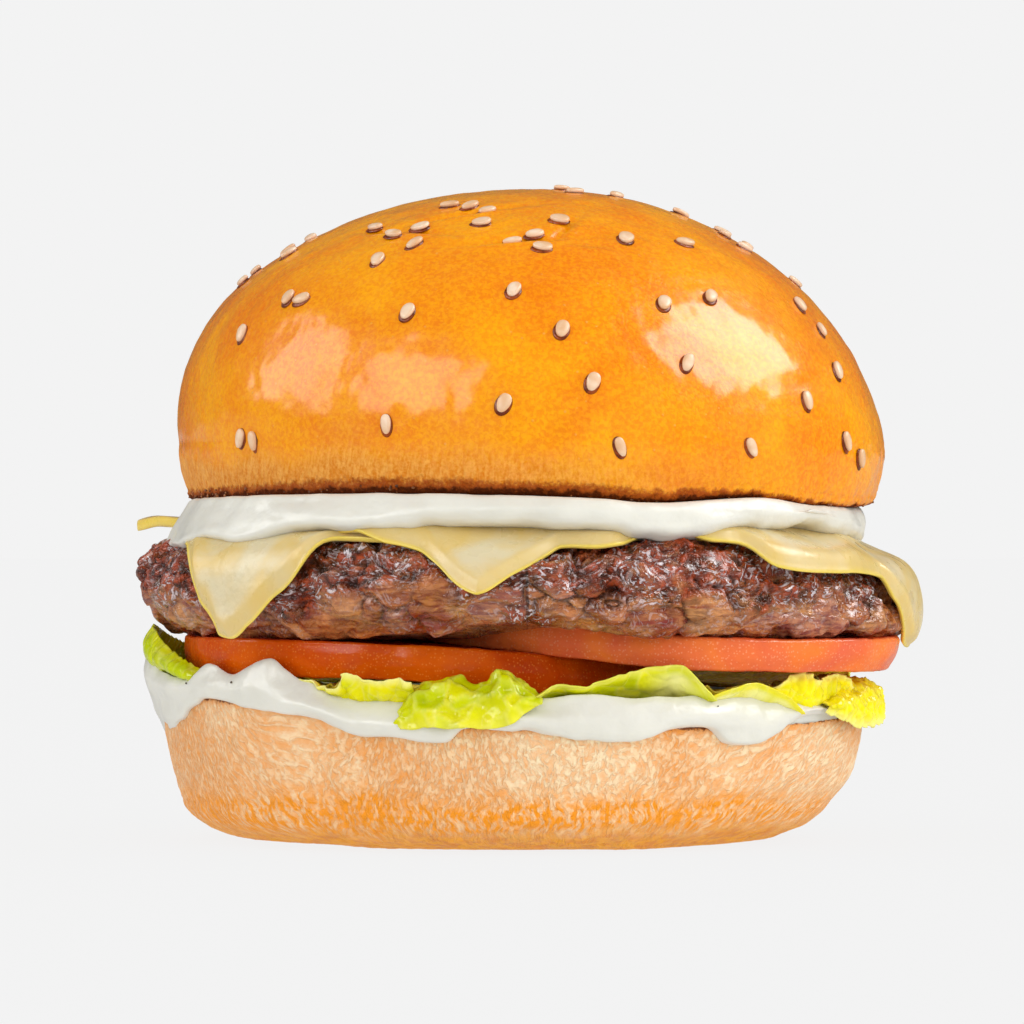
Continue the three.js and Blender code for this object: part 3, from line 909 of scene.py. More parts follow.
@dataclass(frozen=True)
class Sauce(Finish):
    """Mayonnaise: off-white with broad patches of a faintly greyer white, wet, with soft ripples."""

    name: str = "mayonnaise"
    specular: float = 0.4
    coat_roughness: float = 0.08
    scatter: float = 0.25
    depth: Triple = (1.6, 1.5, 1.2)
    film: Triple = (0.12, 0.28, 0.44)
    bumps: tuple[float, float, float, float] = (0.25, 0.3, 1.2, 0.03)
    coat: tuple[float, ...] = (0.1, 0.35, 0.65, 0.0, 0.2)
    white: Colour = srgb(229, 227, 216)
    grey: Colour = srgb(220, 218, 206)

    def colour(self, graph: Paint, place: Socket) -> Socket:
        """Broad patches of two whites."""
        return graph.mottle(place, scale=0.08, contrast=0.2, low=self.grey, high=self.white)


@dataclass(frozen=True)
class Cheese(Finish):
    """Half-melted cheese: pale and faintly grey inside, deeper yellow along its edges, oily."""

    name: str = "melted_cheese"
    specular: float = 0.4
    coat_roughness: float = 0.2
    scatter: float = 0.25
    depth: Triple = (2.4, 1.8, 0.9)
    film: Triple = (0.3, 0.26, 0.42)
    bumps: tuple[float, float, float, float] = (0.35, 0.16, 1.2, 0.015)
    coat: tuple[float, ...] = (0.25, 0.4, 0.65, 0.0, 0.25)
    pale: Colour = srgb(220, 206, 168)
    warm: Colour = srgb(222, 190, 108)
    edge: Colour = srgb(246, 212, 82)

    def colour(self, graph: Paint, place: Socket) -> Socket:
        """Pale clouds inside a warm border, and a stronger colour at the edges.

        Args:
            graph: The material's graph.
            place: Places on the object.

        Returns:
            The colour.
        """
        body = graph.mottle(place, scale=0.11, contrast=0.45, low=self.warm, high=self.pale)
        body = graph.blend(graph.times(graph.value("border"), 0.55), body, self.warm)
        return graph.blend(graph.times(graph.value("edge"), 0.85), body, self.edge)


@dataclass(frozen=True)
class Beef(Finish):
    """Grilled mince: brown and tan, seared darker above, red where it is juicy, wet with fat."""

    name: str = "grilled_beef"
    specular: float = 0.6
    coat_roughness: float = 0.1
    scatter: float = 0.03
    depth: Triple = (1.2, 0.5, 0.3)
    film: Triple = (0.5, 0.12, 0.45)
    bumps: tuple[float, float, float, float] = (0.5, 0.6, 1.6, 0.14)
    fat_coat: float = 0.6  # the coat's weight where the meat is wet
    bead: float = 0.3  # how far beads of fat stand up, in millimetres
    # Painted shade: near black for the crevices and hollows of the mince.
    crevice_shade: Colour = srgb(38, 14, 8)
    dark: Colour = srgb(84, 30, 14)
    brown: Colour = srgb(190, 96, 42)
    tan: Colour = srgb(228, 160, 96)
    mauve: Colour = srgb(170, 102, 102)
    seared: Colour = srgb(58, 18, 8)
    glaze: Colour = srgb(184, 68, 16)
    red: Colour = srgb(136, 26, 12)
    # Painted highlight: the pale colour of glints on beads of fat.
    painted_fat_glint: Colour = srgb(240, 226, 230)

    @staticmethod
    def wet(graph: Paint, place: Socket) -> Socket:
        """Where the meat is wet with fat."""
        return graph.ramp(graph.noise(place, 0.11, 2.0), 0.4, 0.52)

    def glint(self, graph: Paint, place: Socket) -> Socket:
        """Beads of fat, painted pale as highlights, most of them on the seared part and none in the
        crevices.

        Args:
            graph: The material's graph.
            place: Places on the object.

        Returns:
            A share from 0 to 1.
        """
        beads = graph.ramp(graph.noise(graph.vector("bead"), 1.5, 2.0, 0.6), 0.53, 0.6)
        where = graph.times(self.wet(graph, place), graph.ramp(graph.value("sear"), 0.0, 0.8, 0.25, 1.0))
        return graph.times(graph.times(beads, where), graph.minus(1.0, graph.value("crevice_shade")))

    def colour(self, graph: Paint, place: Socket) -> Socket:
        """A colour for each lump, grain, juicy red, a seared top, painted shade in the crevices and beads of
        fat painted as pale highlights.

        Args:
            graph: The material's graph.
            place: Places on the object.

        Returns:
            The colour.
        """
        lump, smear = graph.value("lump"), graph.vector("smear")
        body = graph.blend(graph.ramp(lump, 0.1, 0.3), self.red, self.brown)
        body = graph.blend(graph.ramp(lump, 0.45, 0.65), body, self.tan)
        body = graph.blend(graph.ramp(lump, 0.76, 0.86), body, self.mauve)
        clump = graph.mottle(place, scale=0.22, contrast=0.6, low=self.dark, high=self.brown)
        grain = graph.mottle(smear, scale=0.9, contrast=0.6, low=self.dark, high=self.tan)
        body = graph.blend(0.4, graph.blend(0.45, body, clump), grain)
        juice = graph.ramp(graph.noise(smear, 0.14, 3.0, 0.8), 0.45, 0.34, 0.0, 0.75)
        body = graph.blend(juice, body, self.red)
        crust = graph.mottle(place, scale=0.5, contrast=0.6, low=self.seared, high=self.glaze)
        patchy = graph.ramp(graph.noise(place, 0.3), 0.36, 0.56, 0.4, 0.95)
        body = graph.blend(graph.times(graph.value("sear"), patchy), body, crust)
        # Painted shade: darkens the crevices and hollows.
        body = graph.blend(graph.times(graph.value("crevice_shade"), 0.85), body, self.crevice_shade)
        # Painted highlight: the beads of fat coloured pale as glints.
        return graph.blend(graph.times(self.glint(graph, place), 0.8), body, self.painted_fat_glint)

    def coating(self, graph: Paint, place: Socket) -> Socket:
        """Fat on the wet parts."""
        return graph.times(self.wet(graph, place), self.fat_coat)

    def height(self, graph: Paint, place: Socket) -> Socket:
        """Crumbled ridges, strongest on the seared part, bumps along the grain, and beads of fat.

        Args:
            graph: The material's graph.
            place: Places on the object.

        Returns:
            The height in millimetres.
        """
        strength = graph.ramp(graph.value("sear"), 0.0, 1.0, 0.35, 1.1)
        ridges = graph.times(graph.noise(place, 0.85, 1.0, 1.4), strength)
        height = graph.plus(ridges, super().height(graph, graph.vector("smear")))
        return graph.plus(height, graph.times(self.glint(graph, place), self.bead))


@dataclass(frozen=True)
class Tomato(Finish):
    """A tomato slice: smooth orange-red skin with fine pale flecks, wetter paler flesh inside."""

    name: str = "tomato"
    specular: float = 0.06
    coat_roughness: float = 0.12
    scatter: float = 0.05
    depth: Triple = (1.5, 0.5, 0.15)
    film: Triple = (0.25, 0.18, 0.34)
    bumps: tuple[float, float, float, float] = (0.3, 0.25, 1.6, 0.12)
    coat: tuple[float, ...] = (0.2, 0.4, 0.6, 0.0, 0.34)
    skin: Colour = srgb(228, 100, 2)
    blush: Colour = srgb(196, 66, 4)
    fleck: Colour = srgb(250, 168, 80)
    flesh: Colour = srgb(214, 66, 14)
    wall: Colour = srgb(180, 36, 4)

    def colour(self, graph: Paint, place: Socket) -> Socket:
        """Patchy skin with flecks round the edge, and patchy flesh on the cut faces.

        Args:
            graph: The material's graph.
            place: Places on the object.

        Returns:
            The colour.
        """
        skin = graph.mottle(place, scale=0.1, contrast=0.3, low=self.blush, high=self.skin)
        flecks = graph.specks(place, scale=2.3, size=0.4, share=0.6)
        skin = graph.blend(graph.times(flecks, 0.3), skin, self.fleck)
        flesh = graph.mottle(place, scale=0.14, contrast=0.5, low=self.wall, high=self.flesh)
        return graph.blend(graph.value("skin"), flesh, skin)


@dataclass(frozen=True)
class Lettuce(Finish):
    """A leaf: lime green, yellow towards the heart and the margins, pale along veins and folds; the pale
    creases between blisters are partly painted light.
    """

    name: str = "lettuce"
    specular: float = 0.06
    coat_roughness: float = 0.08
    scatter: float = 0.08
    depth: Triple = (0.8, 1.0, 0.05)
    film: Triple = (0.5, 0.18, 0.36)
    bumps: tuple[float, float, float, float] = (0.5, 0.3, 2.2, 0.05)
    coat: tuple[float, ...] = (0.3, 0.4, 0.56, 0.0, 0.6)
    green: Colour = srgb(208, 222, 0)
    yellow: Colour = srgb(255, 238, 14)
    pale: Colour = srgb(255, 250, 156)
    olive: Colour = srgb(168, 186, 0)

    def colour(self, graph: Paint, place: Socket) -> Socket:
        """Mottled green, then yellow and pale by the leaf's own tones.

        Args:
            graph: The material's graph.
            place: Places on the object.

        Returns:
            The colour.
        """
        green = graph.mottle(place, scale=0.22, contrast=0.2, low=self.olive, high=self.green)
        leaf = graph.blend(graph.value("yellow"), green, self.yellow)
        return graph.blend(graph.value("pale"), leaf, self.pale)


@dataclass(frozen=True)
class Seed(Finish):
    """Sesame: cream hull, caramel brown where it sits in the crust."""

    name: str = "sesame"
    coat_roughness: float = 0.25
    scatter: float = 0.15
    depth: Triple = (0.6, 0.4, 0.25)
    film: Triple = (1.0, 0.35, 0.5)
    bumps: tuple[float, float, float, float] = (1.5, 0.06, 5.0, 0.02)
    coat: tuple[float, ...] = (0.6, 0.4, 0.6, 0.1, 0.3)
    hull: Colour = srgb(244, 216, 188)
    toast: Colour = srgb(226, 178, 130)
    caramel: Colour = srgb(140, 62, 14)

    def colour(self, graph: Paint, place: Socket) -> Socket:
        """Two creams in patches, a darker line round the hull and caramel at the foot.

        Args:
            graph: The material's graph.
            place: Places on the object.

        Returns:
            The colour.
        """
        hull = graph.mottle(place, scale=0.25, contrast=0.5, low=self.toast, high=self.hull)
        hull = graph.blend(graph.times(graph.value("line"), 0.45), hull, self.toast)
        return graph.blend(graph.value("foot"), hull, self.caramel)


@dataclass(frozen=True)
class Granule(Finish):
    """Crumbs, pepper and baked egg wash: a dark and a light tone in patches, and no coat."""

    name: str = "crumb"
    film: Triple = (1.0, 0.5, 0.8)
    bumps: tuple[float, float, float, float] = (2.0, 0.1, 6.0, 0.03)
    dark: Colour = srgb(70, 34, 16)
    light: Colour = srgb(176, 108, 52)

    def colour(self, graph: Paint, place: Socket) -> Socket:
        """The two tones."""
        return graph.mottle(place, scale=0.6, contrast=0.6, low=self.dark, high=self.light)


# ------------------------------------------------------------------ the layers
@dataclass
class Layer(ABC):
    """A piece of the burger: its name, the CAD nodes it stands for and its slot in the record."""

    name: str = ""
    nodes: tuple[str, ...] = ()
    slot: Slot | None = None

    @abstractmethod
    def surface(self) -> Surface:
        """The piece's closed surface, in millimetres."""

    def make(self, material: bpy.types.Material) -> bpy.types.Object:
        """Makes the object, dresses it and hangs it on the frame.

        Args:
            material: The piece's finish.

        Returns:
            The new object, with its place in its mesh.
        """
        made = bpy.data.objects.new(self.name, self.surface().mesh(self.name))
        made.data.materials.append(material)
        bpy.context.scene.collection.objects.link(made)
        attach(made, "root")
        if self.nodes:
            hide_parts(*self.nodes)
        log.info("%s: %d faces", self.name, len(made.data.polygons))
        return made


@dataclass
class Crown(Layer):
    """The crown: an egg-washed dome that leans a little to the left, over a drawn-in neck."""

    name: str = "crown"
    nodes: tuple[str, ...] = ("bun_crown",)
    slot: Slot | None = Slot.CROWN
    radius: float = 55.0
    wide: float = 61.4  # height of its widest line
    top: float = 100.9
    neck: float = 53.4  # radius at the cut rim
    lip: float = 1.6  # rounding of the cut rim
    middle: float = 52.8  # height of the cut face's middle
    lean: float = 1.7  # how far the dome leans to the left
    dome_power: float = 0.98  # of the cosine that gives the dome's radius
    neck_power: float = 2.1  # how steeply the neck starts
    steps: int = 640
    gather: float = 0.35  # how much closer the columns stand at the front
    streak: float = 0.24  # height of the fine wrinkles that run up the side
    crumb: float = 0.22  # raggedness of the cut rim
    skin: Texture = Texture(((0.26, 17.0, 2, 1), (0.085, 2.8, 2, 2)))
    wobble: Ripple = Ripple(((2, 0.45, 150), (3, 0.35, 20), (4, 0.2, 260)))
    rim: Loop = Loop((  # height of the cut rim
        (-150, 52.6), (-120, 52.3), (-90, 52.5), (-60, 52.9), (-35, 53.4), (-12, 53.3), (6, 52.9),
        (20, 52.1), (38, 52.8), (52, 51.8), (65, 51.4), (90, 51.8), (120, 52.5), (160, 53.0),
    ))
    trim: Loop = Loop(((-150, -0.6), (-90, -1.1), (-50, -0.8), (-10, 0.0), (90, -0.2), (160, -0.1)))
    tan: Loop = Loop((  # strength of the tan band low down
        (-150, 0.8), (-90, 1.0), (-40, 0.95), (-15, 0.8), (8, 0.6), (26, 0.25), (45, 0.08), (70, 0.15),
        (90, 0.7), (140, 0.8),
    ))
    # It also sets how high the painted shade at the foot of the rim reaches.
    char: Loop = Loop((  # how far up the lip it is toasted
        (-150, 1.0), (-70, 0.75), (-30, 1.0), (6, 1.0), (20, 0.9), (36, 0.6), (50, 0.35), (90, 0.3),
        (130, 0.8),
    ))
    # Creases in the skin: azimuth, latitude, turn, half length, half width and depth.
    creases: tuple[tuple[float, ...], ...] = (
        (-1, 50.2, 80, 8.0, 0.9, 0.6), (9, 54.0, 35, 5.0, 0.9, 0.5), (-34, 53.5, 97, 9.0, 0.9, 0.45),
        (-20, 61.5, 62, 9.0, 1.0, 0.5), (13, 49.0, 100, 4.0, 1.2, 0.3), (150, 58, 60, 9.0, 1.2, 0.5),
        (-140, 50, 100, 8.0, 1.1, 0.5),
    )

    def outline(self, latitude: Array, azimuth: Array) -> tuple[Array, Array]:
        """The skin's radius and height.

        Args:
            latitude: 90 at the top, 0 on the widest line, -90 at the cut rim.
            azimuth: In radians.

        Returns:
            For the dome r = R cos^0.98 less a lean to one side, z up with the sine; for the neck a
            curve that starts steep at the rim and ends upright at the widest line.
        """
        up = np.radians(np.maximum(latitude, 0.0))
        height = np.sin(up)
        uneven = self.wobble(azimuth) + self.trim(azimuth) * smooth(50.0, 10.0, latitude)
        shoulder = 1.1 * bell(latitude, 52.0, 22.0) * smooth(0.2, 0.95, np.sin(azimuth))
        dome = (self.radius + uneven) * np.cos(up) ** self.dome_power - shoulder
        dome = dome - self.lean * np.sin(np.pi * height) * np.sin(azimuth)
        share = 1.0 + np.minimum(latitude, 0.0) / 90.0
        neck = mix(self.neck, self.radius, 1.0 - (1.0 - share) ** self.neck_power) + uneven
        neck_z = mix(self.rim(azimuth) + self.lip, self.wide, share)
        above = latitude >= 0.0
        return np.where(above, dome, neck), np.where(above, mix(self.wide, self.top, height), neck_z)

    def face(self, radius: Array, azimuth: Array) -> Array:
        """Height of the cut face: level in the middle, meeting the rim at its radius."""
        share = np.clip(radius / (self.neck - self.lip), 0.0, 1.0) ** 2
        return mix(self.middle, self.rim(azimuth), share)

    def frame_at(self, azimuth: float, latitude: float) -> tuple[Array, Array, Array]:
        """The even skin at one point, its directions by differences.

        Args:
            azimuth: In degrees.
            latitude: In degrees.

        Returns:
            The place, and the unit directions to the right and up the skin.
        """
        turn, step = math.radians(azimuth), 0.01

        def at(a: float, b: float) -> Array:
            """The skin a little to the right and above."""
            radius, z = self.outline(np.array(latitude + math.degrees(b)), np.array(turn + a))
            return around(radius, turn + a, z)

        right = unit(at(step, 0.0) - at(-step, 0.0))
        up = at(0.0, step) - at(0.0, -step)
        return at(0.0, 0.0), right, unit(up - right * np.dot(up, right))

    def spot(self, azimuth: float, latitude: float) -> tuple[Array, Array, Array]:
        """As frame_at, on the skin with its dents and creases.

        Args:
            azimuth: In degrees.
            latitude: In degrees.

        Returns:
            As frame_at, with the place moved out along the normal.
        """
        place, right, up = self.frame_at(azimuth, latitude)
        raised = self.lift(place, np.array(math.radians(azimuth)), np.array(latitude))
        return place + np.cross(right, up) * raised, right, up

    def lift(self, place: Array, azimuth: Array, latitude: Array) -> Array:
        """How far dents, creases and wrinkles move the skin outwards.

        Args:
            place: Points on the even skin.
            azimuth: In radians.
            latitude: In degrees.

        Returns:
            Two sizes of noise, less the creases, and ridges 1 - |noise| low down, in millimetres.
        """
        sides = 0.2 + 0.8 * np.abs(np.sin(azimuth)) ** 2
        wrinkle = (1.0 - np.abs(noise(self.grain(place, azimuth) / 1.7, 3))) * smooth(12.0, -30.0, latitude)
        return self.skin(place) - self.crease_depth(place) + self.streak * wrinkle * sides

    def surface(self) -> Surface:
        """Cut face, rounded rim, neck and dome, with dents, creases, wrinkles and a ragged rim.

        Returns:
            Rows from the middle of the cut face to the top, moved along their normals.
        """
        azimuth = azimuths(self.steps)
        azimuth = azimuth - self.gather * np.sin(azimuth)
        rim, inner = self.rim(azimuth), self.neck - self.lip
        uneven = self.wobble(azimuth) + self.trim(azimuth)
        rows = [(r, self.face(np.array(r), azimuth)) for r in (0.0, 16.0, 32.0, 44.0, 49.0)]
        for angle in np.radians(np.linspace(0, 75, 6)):
            rows.append((inner + (self.lip + uneven) * np.sin(angle), rim + self.lip * (1 - np.cos(angle))))
        latitudes = np.concatenate([
            np.linspace(-90, -3, 30), np.linspace(0, 42, 42), np.linspace(42.6, 68, 42),
            np.linspace(69.5, 88.8, 18),
        ])
        rows += [self.outline(np.array(lat), azimuth) for lat in latitudes] + [(0.0, self.top)]
        grid = turned(rows, azimuth)
        lead = len(rows) - 1 - len(latitudes)
        latitude = np.concatenate([np.full(lead, -91.0), latitudes, [90.0]])[:, None] + 0.0 * azimuth
        low = smooth(6.0, -60.0, latitude + 18.0 * fractal(grid / 9.0, 2, 5)) * self.tan(azimuth)
        above = ((grid[..., 2] - rim) / self.lip + 0.25 * fractal(grid / 1.1, 2, 9)) / self.char(azimuth)
        # Toasting of the cut rim; its highest values, at the very foot, also carry painted shade.
        cut = 0.5 * smooth(1.9, 0.9, above) + 0.5 * smooth(0.95, 0.25, above)
        ragged = fractal(grid / 0.8, 2, 4) * bell(latitude, -91.0, 5.0)
        amount = self.lift(grid, azimuth, latitude) + self.crumb * ragged
        amount *= smooth(lead - 6, lead - 2, np.arange(len(grid)))[:, None] * smooth(90.0, 86.0, latitude)
        grid = lifted(grid, amount)
        return round_surface(grid, low=low, cut=cut, grain=self.grain(grid, azimuth))

    def grain(self, place: Array, azimuth: Array) -> Array:
        """Places turned and squashed so that a pattern on them runs up the side as streaks."""
        lean = azimuth + (place[..., 2] - self.wide) * 0.012 * np.sin(azimuth)
        return around(self.radius, lean, 0.33 * place[..., 2])

    def crease_depth(self, place: Array) -> Array:
        """Sum of shallow creases, each a bell along and across its own bowed line.

        Args:
            place: Points on the even skin.

        Returns:
            The depth: a groove beside a low ridge, fading along the crease and away from the skin.
        """
        total = np.zeros(place.shape[:-1])
        for azimuth, latitude, turn, half, width, depth in self.creases:
            middle, right, up = self.frame_at(azimuth, latitude)
            angle = math.radians(turn)
            along = right * math.sin(angle) + up * math.cos(angle)
            out = np.cross(right, up)
            away = place - middle
            run, height = away @ along, away @ out
            side = away @ np.cross(along, out) + 0.06 * run**2 / half
            groove = np.exp(-((side / width) ** 2)) - 0.45 * np.exp(-(((side - 1.7 * width) / width) ** 2))
            total += depth * groove * np.exp(-((run / half) ** 2) - (height / 9.0) ** 2)
        return total


@dataclass
class SesameSeeds(Layer):
    """Sesame seeds on the crown: teardrops with a ridged hull, sunk a little into the glaze."""

    name: str = "sesame_seeds"
    slot: Slot | None = Slot.CROWN
    crown: Crown = field(default_factory=Crown)
    length: float = 3.0
    width: float = 2.05
    thickness: float = 0.95
    sink: float = 0.1  # how deep they sit in the glaze
    tip: float = 0.07  # how much they lean at random
    across: int = 18
    along: int = 10
    # Azimuth, latitude, lean of the long axis to the right as seen from the front, and girth.
    front: tuple[tuple[float, float, float, float], ...] = (
        (-33.7, 42.8, 22, 1.0), (-21.9, 28.5, 25, 1.0), (-23.0, 3.3, -3, 0.78), (-4.2, 7.7, 25, 1.0),
        (-3.2, 34.2, 25, 1.0), (-50.6, 32.8, 20, 0.95), (-46.4, 32.2, 70, 0.9), (-59.4, 24.3, 15, 0.9),
        (-54.4, 0.6, 6, 0.85), (-50.9, 0.0, -8, 0.75), (-47.6, 55.4, 96, 0.9), (-35.9, 51.3, 96, 0.85),
        (-30.5, 54.3, 86, 1.15), (-27.4, 47.8, 55, 0.85), (-13.6, 55.9, 90, 1.05), (-31.6, 65.4, 78, 0.9),
        (-22.2, 64.5, 68, 0.95), (-15.0, 63.0, 68, 1.0), (8.4, 57.2, 96, 1.05), (-4.4, 49.6, 80, 0.7),
        (1.0, 51.6, 76, 0.85), (2.7, 46.9, 92, 1.05), (24.4, 50.3, 18, 1.15), (41.9, 49.1, 105, 0.85),
        (64.7, 31.6, -25, 0.95), (67.4, 25.6, -12, 0.85), (5.3, 24.4, 18, 1.0), (25.2, 30.9, 15, 1.0),
        (36.4, 32.7, 30, 0.95), (26.4, 16.7, 20, 0.9), (9.8, 12.3, 20, 1.0), (63.5, 15.7, -12, 0.95),
        (50.2, 8.7, -10, 0.85), (13.8, -13.1, -18, 0.75), (36.5, -13.8, -20, 0.75), (59.9, 0.0, -8, 0.85),
        (64.8, -26.8, -5, 0.9), (-83.3, 53.4, 80, 0.95), (-86.5, 49.2, 60, 0.9), (-72.0, 47.0, 50, 1.05),
        (-88.0, 42.4, 60, 0.9), (-84.4, 39.0, 60, 0.9), (45.2, 83.0, 90, 1.0), (30.2, 75.9, 90, 0.9),
        (60.6, 73.8, 90, 0.95), (75.7, 63.2, 110, 0.9), (84.0, 55.3, 120, 1.0), (76.0, 54.0, 60, 1.0),
        (88.4, 50.2, 120, 0.95), (72.9, 49.0, 115, 0.9), (86.7, 38.8, 130, 0.9),
    )
    hidden: int = 46  # seeds on the far side
    apart: float = 5.0  # usual distance between seeds on the far side

    def scattered(self) -> Array:
        """Azimuth, latitude, lean and girth of every seed.

        Returns:
            The listed ones, then random ones on the far side that keep their distance.
        """
        random = np.random.default_rng(7)
        rows = list(self.front)
        places = [self.crown.frame_at(row[0], row[1])[0] for row in rows]
        while len(rows) < len(self.front) + self.hidden:
            azimuth = random.uniform(98.0, 262.0)
            latitude = math.degrees(math.asin(random.uniform(-0.1, 0.995)))
            place = self.crown.frame_at(azimuth, latitude)[0]
            nearest = min(np.linalg.norm(np.array(places) - place, axis=1))
            if nearest > self.apart * random.uniform(0.6, 1.6):
                rows.append((azimuth, latitude, random.uniform(-70.0, 70.0), random.uniform(0.8, 1.05)))
                places.append(place)
        return np.array(rows)

    def lie(self, seed: Array) -> tuple[Array, Array, Array]:
        """Where a seed lies.

        Args:
            seed: Its azimuth, latitude, lean and girth.

        Returns:
            Its place on the skin, the way its long axis points, and the way out of the skin.  On
            the near side the long axis is the tangent that the front view shows at its lean.
        """
        place, right, up = self.crown.spot(seed[0], seed[1])
        turn = math.radians(seed[2])
        shown = np.array([math.sin(turn), math.cos(turn)])
        if abs(seed[0]) < 92.0:
            seen = np.array([[right[0], up[0]], [right[2], up[2]]])
            shown = np.linalg.solve(seen + 0.05 * np.eye(2), shown)
        return place, unit(right * shown[0] + up * shown[1]), np.cross(right, up)

    def one(self) -> tuple[Array, Array]:
        """One seed's grid, lying flat: rings of a flattened egg, blunt at one end.

        Returns:
            Points as (along, across, 3), and the height share of each point above its foot.  From
            tip to tip the girth goes with sin^0.9, less on one side, and the height with sin^0.55.
        """
        turn = azimuths(self.across)
        angle = np.pi * np.linspace(0.0, 1.0, self.along)[:, None]
        girth = np.sin(angle) ** 0.9 * (1.0 - 0.16 * np.cos(angle))
        x = 0.5 * self.width * girth * np.cos(turn)
        arch = np.sign(np.sin(turn)) * np.abs(np.sin(turn)) ** 0.65
        z = 0.5 * self.thickness * np.sin(angle) ** 0.55 * arch
        y = -0.5 * self.length * np.cos(angle) + 0.0 * turn
        return np.stack([x, y, z], axis=-1), 0.5 + z / self.thickness

    def surface(self) -> Surface:
        """Every seed as a small closed grid set on the crown's skin.

        Returns:
            The seeds joined, each tipped a little at random, with how near its foot and its rim are.
        """
        shape, height = self.one()
        random = np.random.default_rng(11)
        rim = bell(np.hypot(shape[..., 0] / self.width, shape[..., 1] / self.length), 0.4, 0.06)
        parts = []
        for seed in self.scattered():
            place, along, out = self.lie(seed)
            side = np.cross(along, out)
            tilt = random.normal(0.0, self.tip, 2)
            upright = unit(out + along * tilt[0] + side * tilt[1])
            side = unit(np.cross(along, upright))
            axes = np.stack([side * seed[3], np.cross(upright, side), upright])
            points = shape @ axes + place + out * (0.5 * self.thickness - self.sink)
            parts.append(round_surface(points, foot=smooth(0.36, 0.1, height), line=rim * (height > 0.5)))
        return joined(parts)


@dataclass
class SeedGlaze(Layer):
    """Dark baked egg wash pooled round each seed, thickest on the lower side."""

    name: str = "seed_glaze"
    slot: Slot | None = Slot.CROWN
    seeds: SesameSeeds = field(default_factory=SesameSeeds)
    border: float = 0.26  # how far it shows round its seed
    slip: float = 0.22  # how far the pool has slid down from under its seed
    height: float = 0.22

    def surface(self) -> Surface:
        """A low elliptic dome for each seed: rings of a circle with a half-ellipse profile.

        Returns:
            The pools joined, each set on the skin a little below its seed.
        """
        turn = azimuths(20)
        share = np.array([0.0, 0.5, 0.8, 0.94, 1.0, 0.8, 0.0])[:, None]
        rise = np.array([-0.6, -0.6, -0.6, -0.4, 0.0, 0.62, 1.0])[:, None]
        ring = np.stack([share * np.sin(turn), -share * np.cos(turn), rise + 0 * turn], axis=-1)
        parts = []
        for seed in self.seeds.scattered():
            place, along, out = self.seeds.lie(seed)
            side = np.cross(along, out)
            half = 0.5 * self.seeds.width * seed[3] + self.border, 0.5 * self.seeds.length + self.border
            axes = np.stack([side * half[0], along * half[1], out * self.height])
            down = np.array([-0.5, -0.2, -1.0])
            middle = place + self.slip * unit(down - out * np.dot(down, out))
            parts.append(round_surface(ring @ axes + middle))
        return joined(parts)


